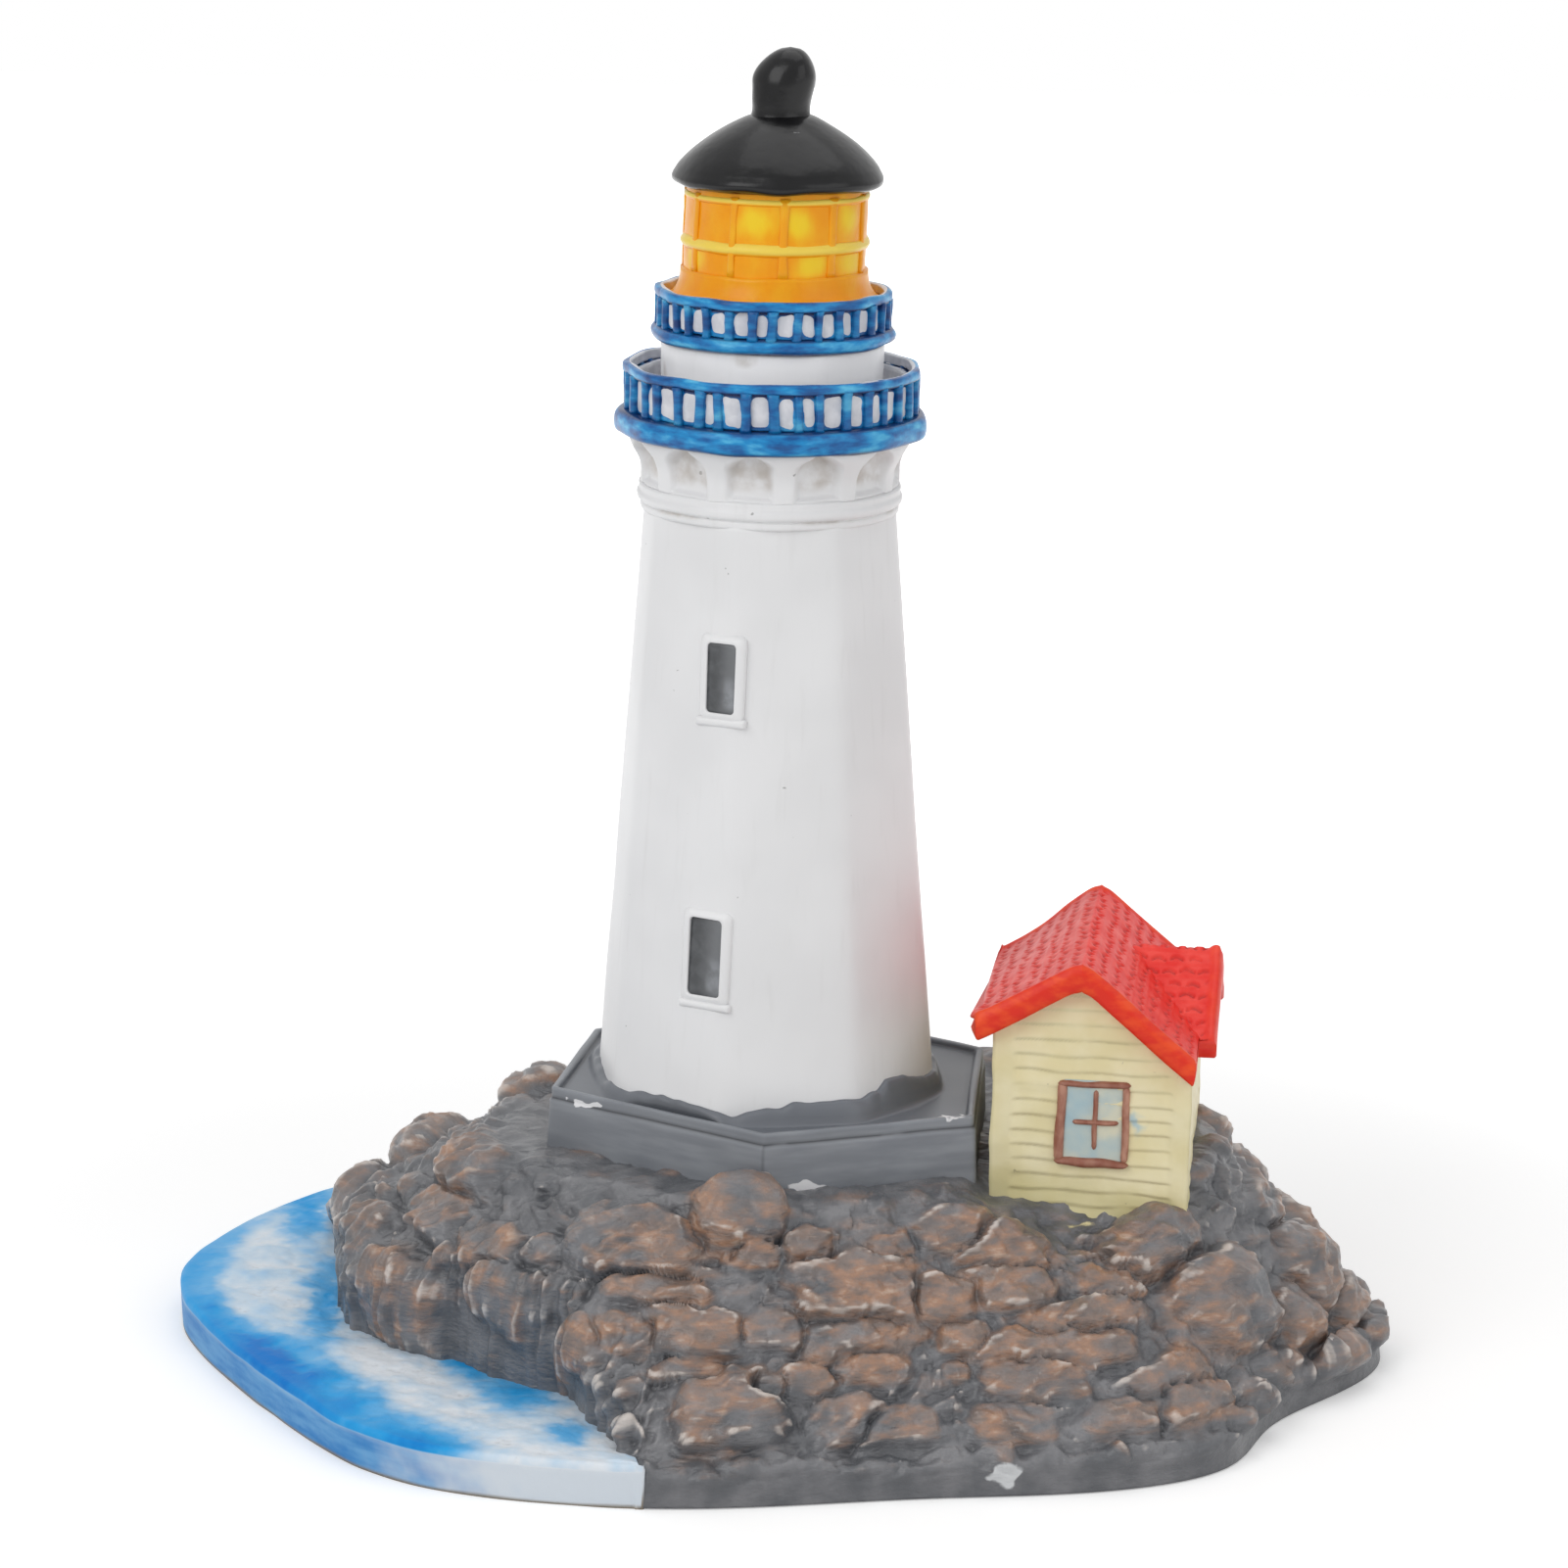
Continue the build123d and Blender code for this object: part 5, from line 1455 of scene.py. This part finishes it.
# %% Bare mound
def rock_grid(columns=820):
    """The bare mound as a grid: underside, upright lip or cliff, slope and terrace, with its corners eased. Columns
    are closer together towards the front."""
    dense = np.linspace(-np.pi, np.pi, 4000)
    edge = np.minimum(island_reach(dense), shore_reach(dense))
    edge = np.convolve(np.concatenate([edge[-20:], edge, edge[:20]]), np.ones(41) / 41, "valid")
    line = island_points(edge, dense, 0.0)
    length = np.linalg.norm(np.diff(line, axis=0), axis=-1) * (1 + 1.6 * ease(np.cos(dense[1:]), -0.35, 0.1))
    run = np.concatenate([[0], np.cumsum(length)])
    azimuth = np.interp(np.linspace(0, run[-1], columns, endpoint=False), run, dense)
    edge = np.interp(azimuth, dense, edge)
    top = level_reaches[-1](azimuth)
    rows = [island_points(edge * share, azimuth, 0.0) for share in (0.05, 0.5, 0.975)]
    wall = mound_height(edge, azimuth)
    rows += [island_points(edge - 0.5 * share, azimuth, wall * share) for share in np.linspace(0.04, 0.96, 15)]
    for share in np.linspace(0.03, 1, 78):
        radius = edge - 0.5 + (top - edge + 0.5) * share
        rows.append(island_points(radius, azimuth, mound_height(radius, azimuth)))
    inwards = 0.94 * np.linspace(0.06, 1, 22) ** 1.5
    rows += [island_points(top * (1 - share), azimuth, terrace_level) for share in inwards]
    grid = np.stack(rows)
    for _ in range(6):
        grid[5:-1] = (grid[4:-2] + 2 * grid[5:-1] + grid[6:]) / 4
    return grid, azimuth


def normals_of(grid):
    """Outward direction at each point of a grid that runs round."""
    across = np.roll(grid, -1, axis=1) - np.roll(grid, 1, axis=1)
    normal = np.cross(across, np.gradient(grid, axis=0))
    return normal / np.maximum(np.linalg.norm(normal, axis=-1, keepdims=True), 1e-9)


mound, mound_azimuth = rock_grid()
mound_normal = normals_of(mound)
print("bare mound", mound.shape)

# %% [markdown]
# ## Stones
# The rock is a heap of blocks and boulders with slate-coloured channels between them. Sculpting it by hand is the
# usual way. Here every stone is a kind, a direction, a share of the way up the slope and a size, as in the solid, so
# that both have one form. Only the boulder before the cottage's right corner sits a little higher here. The back,
# which the photograph doesn't show, is filled with even courses.

# %% Stones
# A kind: half length, half width, rise above the slope and roundness.
stone_kinds = {"boulder": (5.6, 4.8, 3.6, 0.9), "block": (4.8, 3.0, 2.3, 0.2), "slab": (6.2, 1.7, 1.9, 0.1),
               "pebble": (2.5, 1.9, 1.6, 0.5)}
# A stone: direction in degrees from the front to the right, share of the way up and size.
front_stones = {
    "boulder": (
        (-19.5, 0.97, 0.95), (-12, 0.17, 1.1), (66, 0.71, 1.05), (69, 0.41, 1.25), (88, 0.36, 1.1), (90, 0.12, 0.85),
        (79, 0.2, 0.8), (106, 0.88, 0.6), (-121, 0.93, 0.8), (-112, 0.62, 0.95),
    ),
    "block": (
        (-38, 0.81, 1.4), (-20.5, 0.49, 1.0), (-31, 0.45, 0.65), (8, 0.64, 1.4), (6.5, 0.44, 1.05), (36, 0.85, 0.9),
        (42.5, 0.77, 1.05), (27, 0.58, 0.8), (38.5, 0.61, 1.0), (55.5, 0.58, 0.8), (9.5, 0.33, 0.75), (34.5, 0.26, 1.0),
        (5.5, 0.12, 0.8), (12, 0.08, 0.85), (29, 0.09, 0.85), (42, 0.1, 0.85), (53.5, 0.07, 0.95), (92, 0.68, 0.9),
        (-105, 0.45, 0.9), (-84, 0.87, 1.3), (-87, 0.5, 0.9), (-77, 0.68, 1.0), (-64, 0.66, 0.8), (-73, 0.36, 1.1),
        (-57, 0.5, 0.8), (-40, 0.42, 0.7), (-7.5, 0.49, 0.7),
    ),
    "slab": (
        (-29, 0.62, 0.95), (48, 0.48, 1.1), (40, 0.37, 1.35), (52, 0.21, 1.0), (-19.5, 0.34, 0.6), (55, 0.72, 0.6),
    ),
    "pebble": (
        (-13, 0.8, 0.9), (-1, 0.83, 1.1), (18, 0.8, 1.0), (24, 0.3, 0.7), (-8, 0.25, 1.0), (-1.5, 0.28, 1.1),
        (27, 0.43, 1.1),
    ),
}
# A course behind: share of the way up, first direction, step and count.
back_courses = ((0.24, 106, 23, 6), (0.53, 113, 21, 6), (0.83, 124, 21, 5))
back_stone_size, stone_size_swing = 1.4, 0.14


# %% Stone frames
def stone_list():
    """Direction, share, half length, half width, rise and roundness of every stone, as columns."""
    places = [(kind, *place) for kind, rows in front_stones.items() for place in rows]
    for share, first, step, count in back_courses:
        places += [("block", first + step * index, share, back_stone_size * (1 + stone_size_swing * (-1) ** index))
                   for index in range(count)]
    turn, share, size = np.array([place[1:] for place in places]).T
    half_length, half_width, rise, roundness = np.array([stone_kinds[place[0]] for place in places]).T
    return np.radians(turn), share, size * half_length, size * half_width, size * rise, roundness


def stone_frames(turn, share):
    """Centre of each stone and its directions along, up and out of the slope. It sits on the line from the mound's
    foot to its top that passes the stone's direction at its share of the way up."""
    level_lines = foot_points + (top_points - foot_points) * share[:, None, None]
    off = level_lines - island_centre
    ahead = np.stack([np.sin(turn), -np.cos(turn)], axis=-1)[:, None]
    pick = ((off * ahead).sum(axis=-1) / np.linalg.norm(off, axis=-1)).argmax(axis=1)
    each = np.arange(len(turn))
    climb = np.full((len(turn), 1), terrace_level - lip_level)
    upslope = np.concatenate([top_points[pick] - foot_points[pick], climb], axis=1)
    centre = np.concatenate([foot_points[pick], 0 * climb + lip_level], axis=1) + upslope * share[:, None]
    along = level_lines[each, pick - 1] - level_lines[each, (pick + 1) % len(foot_points)]
    along = np.concatenate([along, 0 * climb], axis=1) / np.linalg.norm(along, axis=1)[:, None]
    out = np.cross(along, upslope)
    out /= np.linalg.norm(out, axis=1)[:, None]
    return centre, along, np.cross(out, along), out


print("stones in front", {kind: len(rows) for kind, rows in front_stones.items()})

# %% [markdown]
# ## Rock surface
# A point of the mound belongs to the stone that it lies deepest in. The top of a block is the lowest of a few tilted
# planes, as on split slate, and a boulder is a dome. Each stone has its own grain, which runs along it in ridges, and
# a shallow fold stays where two stones touch. Upright ribs mark the cliff along the shore.


# %% Rock surface
def rock_relief():
    """Rise of the rock above the bare mound, how far each point is inside a stone, and the ridges of its grain."""
    turn, share, half_length, half_width, rise, roundness = stone_list()
    centre, along, up, out = stone_frames(turn, share)
    rng = np.random.default_rng(142)
    flat = mound.reshape(-1, 3)
    bend = np.stack([0.8 * lattice_noise(flat, 4.5, 143 + axis) + 0.5 * lattice_noise(flat, 1.6, 146 + axis)
                     for axis in range(3)], axis=-1)
    off = (flat + bend)[:, None] - centre
    a, b, c = (np.einsum("vnk,nk->vn", off, axis) for axis in (along, up, out))
    power = 4 - 1.8 * roundness
    measure = np.abs(a / half_length) ** power + np.abs(b / half_width) ** power + np.abs(c / 9) ** power
    measure = measure ** (1 / power)
    owner = measure.argmin(axis=1)
    nearest = np.partition(measure, 1, axis=1)[:, :2]
    near, gap = nearest[:, 0], nearest[:, 1] - nearest[:, 0]
    each = np.arange(len(flat))
    a, b = a[each, owner], b[each, owner]
    u, v = a / half_length[owner], b / half_width[owner]
    tilt_turns = rng.uniform(0, TURN, (len(turn), 5))
    tilts = rng.uniform(0.1, 0.6, (len(turn), 5))
    planes = 1.12 - tilts[owner] * (np.cos(tilt_turns)[owner] * u[:, None] + np.sin(tilt_turns)[owner] * v[:, None])
    block = np.minimum(planes.min(axis=1), 1.0)
    dome = np.sqrt(np.maximum(1.15 - near**2, 0.02))
    top = block + (dome - block) * roundness[owner]
    inside = 1 - ease(near, 0.92, 1.38)
    fold = 0.5 + 0.5 * ease(gap, 0.0, 0.30)
    slant = np.where(np.abs(turn + 1.6) < 0.75, TURN / 4, 0.0)[owner] + rng.uniform(-0.6, 0.6, len(turn))[owner]
    length_wise, cross_wise = a * np.cos(slant) + b * np.sin(slant), b * np.cos(slant) - a * np.sin(slant)
    streaks = np.stack([0.32 * length_wise, cross_wise, 9.0 * owner], axis=-1)
    coarse, fine = (1 - 2 * np.abs(lattice_noise(streaks, cell, 149)) for cell in (2.2, 1.0))
    shape = mound.shape[:2]
    return [value.reshape(shape) for value in (rise[owner] * top * inside * fold, inside, coarse, fine)]


def spread(values, turns):
    """Average of neighbours, repeated, on a grid that runs round."""
    for _ in range(turns):
        values = (values + np.roll(values, 1, 1) + np.roll(values, -1, 1)
                  + np.concatenate([values[:1], values[:-1]]) + np.concatenate([values[1:], values[-1:]])) / 5
    return values


# %% Rubble, ribs and lumps
stone_rise, in_stone, coarse, fine = rock_relief()
row = np.arange(len(mound))[:, None]
above_foot = ease(row, 2.5, 5.5)
off_lip = ease(row, 9, 18)
warped = (mound + 0.9 * lattice_noise(mound, 3.5, 150)[..., None]) * (0.75, 0.75, 1.3)
rubble_gap, rubble_level = cell_noise(warped, 4.0, 151)
small_gap, small_level = cell_noise(warped, 1.8, 152)
rubble = (0.6 + 0.4 * rubble_level) * ease(rubble_gap, 0.04, 0.4) * (1 - in_stone)
chips = 0.28 * small_level * ease(small_gap, 0.0, 0.3) + 0.3 * layered_noise(mound, 2.6, 153)
sea_side = (shore_reach(mound_azimuth) < 500) * 1.0
arc = np.cumsum(np.linalg.norm(np.roll(mound[10], -1, axis=0) - mound[10], axis=-1))
rib_place = np.stack([arc + 0.6 * lattice_noise(mound, 4, 157), 0.06 * mound[..., 2], 0 * mound[..., 2]], axis=-1)
rib_gap, rib_level = cell_noise(rib_place, 2.1, 158)
ribs = ease(rib_gap, 0.0, 0.55) * (0.75 + 0.25 * rib_level)
cliff = (1 - ease(row, 26, 46)) * sea_side
lump_gap, lump_level = cell_noise(mound * (0.8, 0.8, 1.0), 6.5, 159)
right_side = ease(mound_azimuth, 0.9, 1.15) * (1 - ease(mound_azimuth, 2.2, 2.5))
ledge = ease(row, 8, 17) * (1 - ease(row, 30, 44)) * right_side
lumps = ease(lump_gap, 0.0, 0.45) * (0.8 + 0.2 * lump_level)
terrace = ease(row, 86, 98)
relief = stone_rise + (1.2 * rubble + chips + 0.45 * coarse + 0.2 * fine) * off_lip * (1 - 0.5 * terrace)
relief = relief + 1.0 * ribs * cliff * (1 - 0.3 * in_stone) + 2.4 * lumps * ledge * (1 - 0.6 * in_stone)
relief = relief * above_foot
print("relief up to", round(float(relief.max()), 1))

# %% [markdown]
# ## Rock under the buildings
# The yard before the cottage dips, so that the foot of its wall shows, and no stone comes up inside the cottage or the
# plinth. A hair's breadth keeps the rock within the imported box.

# %% Rock under the buildings
yard_dip = 2.6
box_margin = 0.02
rock_points = mound + relief[..., None] * mound_normal
yard = mound - cottage_origin
yard_across, yard_ahead = yard @ cottage_x, -(yard @ cottage_y)
yard_wide = ease(yard_across, -4, 1) * (1 - ease(yard_across, 11, 19))
yard_deep = ease(yard_ahead, -3, 0) * (1 - ease(yard_ahead, 3, 9))
rock_points[..., 2] -= yard_dip * (yard_wide * yard_deep)

local = rock_points - cottage_origin
under_cottage = ((local @ cottage_x > 0.1) & (local @ cottage_x < cottage_width - 0.1)
                 & (local @ cottage_y > 0.1) & (local @ cottage_y < cottage_depth - 0.1))
rock_turn, rock_reach = polar(rock_points)
under_plinth = rock_reach < plinth_reach(rock_turn) - 0.2
buried = np.minimum(rock_points[..., 2], terrace_level)
rock_points[..., 2] = np.where(under_cottage | under_plinth, buried, rock_points[..., 2])
keep_low, keep_high = np.array(cad_low) / MM + box_margin, np.array(cad_high) / MM - box_margin
rock_points = np.clip(rock_points, keep_low, keep_high)
rock_points[:3, :, 2] = 0.0

# %% [markdown]
# ## Rock paint
# The casting was primed slate grey, and a nearly dry brush of copper brown was dragged over it, so brown stays on the
# high places and streaks follow the grain. Edges catch a paler rub with painted glints on top, and hollows keep a dark
# wash deepened by painted shade. The heights above give the marks for all of these, and noise in the shader breaks them
# up.


# %% Rock paint
def rock_paint():
    """Slate under dry-brushed brown, with a pale rub and painted glints on crests, a dark wash and painted shade in
    hollows, chips and a cream smear.
    """
    material, tree, shader = paint("rock")
    slate = layer(tree, between(tree, grain(tree, 4.5, 4), 0.3, 0.7), rgb(90, 92, 96), rgb(122, 122, 125))
    streaks = thin(tree, grain(tree, 2.0, 5, (2.4, 2.4, 0.6), 1.3), 1.6)
    rubbed = combine(tree, "ADD", mark(tree, "raised"), streaks)
    brown = steps(tree, grain(tree, 1.8, 5, (1.6, 1.6, 0.6), 2.1), [
        (0.28, rgb(112, 99, 92)), (0.45, rgb(136, 114, 101)), (0.6, rgb(168, 126, 98)), (0.75, rgb(204, 178, 158))])
    share = thin(tree, between(tree, rubbed, 0.85, 1.75), 0.85)
    colour = layer(tree, share, slate, brown)
    # A pale dry-brush rub on the crests, with painted glints.
    crest = combine(tree, "ADD", mark(tree, "crest"), thin(tree, grain(tree, 0.9, 4, (2, 2, 0.8)), 0.5))
    colour = layer(tree, thin(tree, between(tree, crest, 0.55, 1.05), 0.75), colour, rgb(218, 209, 202))
    # A dark wash in the hollows, deepened with painted shade.
    colour = layer(tree, thin(tree, mark(tree, "hollow"), 0.65), colour, rgb(58, 60, 65))
    chip = combine(tree, "ADD", mark(tree, "chip"), thin(tree, grain(tree, 1.4, 3, (3, 3, 1)), 0.5))
    colour = layer(tree, between(tree, chip, 0.75, 0.9), colour, rgb(206, 208, 210))
    cream = combine(tree, "ADD", mark(tree, "cream"), thin(tree, grain(tree, 1.2, 3), 0.6))
    colour = layer(tree, between(tree, cream, 0.8, 1.0), colour, rgb(222, 210, 160))
    coat(tree, shader, colour, 0.32, grain(tree, 0.7, 5, (1.8, 1.8, 0.7)), 0.3, 0.7)
    return material


# %% Rock marks
bend_mark = relief - spread(relief, 6)
on_stone = np.maximum.reduce([in_stone, 0.8 * rubble * off_lip, 0.7 * ribs * cliff, 0.9 * lumps * ledge])
raised_mark = 0.12 + on_stone * (0.45 + 0.3 * coarse + 0.2 * fine) + 0.3 * layered_noise(mound, 6, 154, 2) * off_lip
brown_zone = [(880, 1310, 300, 80, 0.35), (1250, 1400, 130, 60, 0.1)]
raised_mark = raised_mark - 0.3 * (1 - off_lip) * (1 - cliff) - 0.25 + spots(rock_points, brown_zone)
# Dark spots of painted shadow in holes along the shore.
shore_holes = [(350, 1262, 6, 7, 0.9), (357, 1292, 5, 6, 0.9), (349, 1318, 6, 5, 0.8), (362, 1366, 6, 5, 0.9),
               (560, 1228, 16, 9, 0.9)]
wide_bend = relief - spread(relief, 24)
# Dark wash and painted shade in the hollows, the painted shadow of the shore's holes, and a darker lip at the foot.
hollow_mark = np.clip(-bend_mark * 0.9, 0, 1) + np.clip(-wide_bend * 0.4, 0, 0.6) + spots(rock_points, shore_holes)
hollow_mark = hollow_mark + 0.2 * (1 - off_lip) * (1 - cliff)
lip_chips = [(1022, 1508, 24, 18, 0.95)]
rock_chip = spots(rock_points, lip_chips)
cream_smears = [(1105, 1250, 34, 6, 0.7)]
cream_smear = spots(rock_points, cream_smears) * (mound[..., 2] > 15)
make_piece("island_rock", [shell(rock_points, raised=raised_mark, crest=np.clip(bend_mark * 1.5, 0, 1),
                                 hollow=np.clip(hollow_mark, 0, 1), chip=rock_chip, cream=cream_smear)],
           rock_paint(), ["rock_base"])

# %% [markdown]
# ## Sea
# The sea is a thin slab along the shore with a cut rim: deep blue along the rim, white foam with a rough skin inside,
# and blue pools near the rock. Its section runs from under the rock out to the rim, down the side and back beneath,
# and is carried along the shore.


# %% Sea
def sea_surface(rows=420):
    """Section of the slab, carried by azimuth from the back end of the shore to the front end."""
    azimuth = np.linspace(shore_turns[0] - 0.015, shore_turns[-1] + 0.012, rows)[:, None]
    shore = np.interp(azimuth, shore_turns, shore_distances) - 2.6
    rim_line = np.maximum(island_reach(azimuth), shore + 1.2)
    across = np.linspace(0, 1, 80)
    rim_turn = np.linspace(0, TURN / 4, 6)
    edge = 0.7
    # A column of the section: distance, height, and a place from 0 at the shore to 1 at the rim and 2 beneath.
    section = [(shore + (rim_line - edge - shore) * share, sea_level, share) for share in across]
    section += [(rim_line - edge + edge * np.sin(turn), sea_level - edge + edge * np.cos(turn), 1.0)
                for turn in rim_turn[1:]]
    section += [(rim_line - 0.25 * share, (sea_level - edge) * (1 - share), 1.0 + share)
                for share in np.linspace(0.06, 1, 10)]
    section += [(rim_line + (shore - rim_line) * share, 0.0, 2.0) for share in np.linspace(0.2, 1, 5)]
    radius = np.concatenate([column[0] for column in section], axis=1)
    height = np.array([column[1] for column in section])
    share = np.array([column[2] for column in section])
    return island_points(radius, azimuth + 0 * radius, height), share


# %% Sea skin and pools
sea_points, sea_share = sea_surface()
on_sea_top = sea_share <= 1.0
foam = layered_noise(sea_points, 3.0, 161, 4)
swell = lattice_noise(sea_points, 11, 165)
rise = (0.22 * foam + 0.25 * swell) * ease(sea_share, 0, 0.1) * (1 - ease(sea_share, 0.9, 0.99)) * on_sea_top
sea_points[..., 2] += rise - 0.5 * on_sea_top * (1 - ease(sea_share, 0.0, 0.9))
sea_across, sea_down = picture(sea_points)
band_width = 0.16 + 0.16 * ease(sea_down, 1320, 1400) * (1 - ease(sea_across, 330, 480))
deep_band = ease((sea_share - 1) / band_width + 0.15 * foam, -1.7, -0.05) * (1 - ease(sea_across, 400, 520))
deep_band = deep_band * ease(sea_down, 1215, 1300) * (0.6 + 0.4 * np.exp(-((sea_across - 290) / 70) ** 2))
sea_pools = [(312, 1240, 24, 26, 0.62), (332, 1325, 20, 40, 0.62), (484, 1390, 30, 18, 0.75), (530, 1422, 36, 18, 0.6),
             (585, 1464, 26, 12, 0.45), (250, 1310, 45, 40, 0.12), (290, 1366, 50, 26, 0.14), (450, 1474, 50, 14, 0.35)]
pools = spots(sea_points, sea_pools)
side = ease(sea_share, 1.0, 1.08) + 0 * foam
fade_right = ease(sea_across + 40 * foam, 360, 540)
blue_mark = (0.07 + 0.85 * deep_band + pools + 0.10 * foam) * on_sea_top
back_part = 0.25 * ease(sea_points[..., 1], 24, 36)
speck_mark = ease(-foam, 0.25, 0.9) * on_sea_top * (1 - np.clip(blue_mark * 2, 0, 1))


# %% Sea paint
def sea_paint():
    """White foam to deep blue by the mark blue, with a brushed side, dirt and a soiled foot."""
    material, tree, shader = paint("sea_paint")
    wet = combine(tree, "ADD", mark(tree, "blue"), thin(tree, grain(tree, 2.2, 4), 0.20))
    colour = steps(tree, combine(tree, "SUBTRACT", wet, 0.12), [
        (0.02, rgb(226, 232, 238)), (0.16, rgb(192, 215, 234)), (0.40, rgb(108, 180, 230)), (0.66, rgb(44, 158, 224)),
        (0.95, rgb(0, 118, 202))])
    strokes = between(tree, grain(tree, 1.8, 4, (4, 4, 0.8)), 0.3, 0.7)
    brushed = layer(tree, strokes, rgb(58, 132, 198), rgb(108, 168, 216))
    pale_side = layer(tree, mark(tree, "right"), brushed, rgb(212, 220, 228))
    colour = layer(tree, mark(tree, "side"), colour, pale_side)
    dirt = combine(tree, "MULTIPLY", mark(tree, "speck"), between(tree, grain(tree, 0.9, 3), 0.45, 0.75))
    colour = layer(tree, thin(tree, dirt, 0.6), colour, rgb(168, 172, 178))
    colour = layer(tree, between(tree, mark(tree, "ground"), 0.3, 1.0), colour, rgb(150, 140, 126))
    coat(tree, shader, colour, 0.45, grain(tree, 0.9, 4), 0.15, 0.4, 0.12)
    return material


ground_mark = (1 - ease(sea_points[..., 2], 0.15, 0.7)) * (sea_share >= 1.0)
sea_points = np.clip(hand_cast(sea_points, 0.12, 5, 166), keep_low, keep_high)
sea_points[..., 2] = np.where(sea_share >= 2.0, 0.0, sea_points[..., 2])
make_piece("sea_slab", [shell(sea_points, blue=np.clip(blue_mark + back_part, 0, 1.2), side=side, right=fade_right,
                              speck=speck_mark, ground=ground_mark)], sea_paint(), ["sea"])
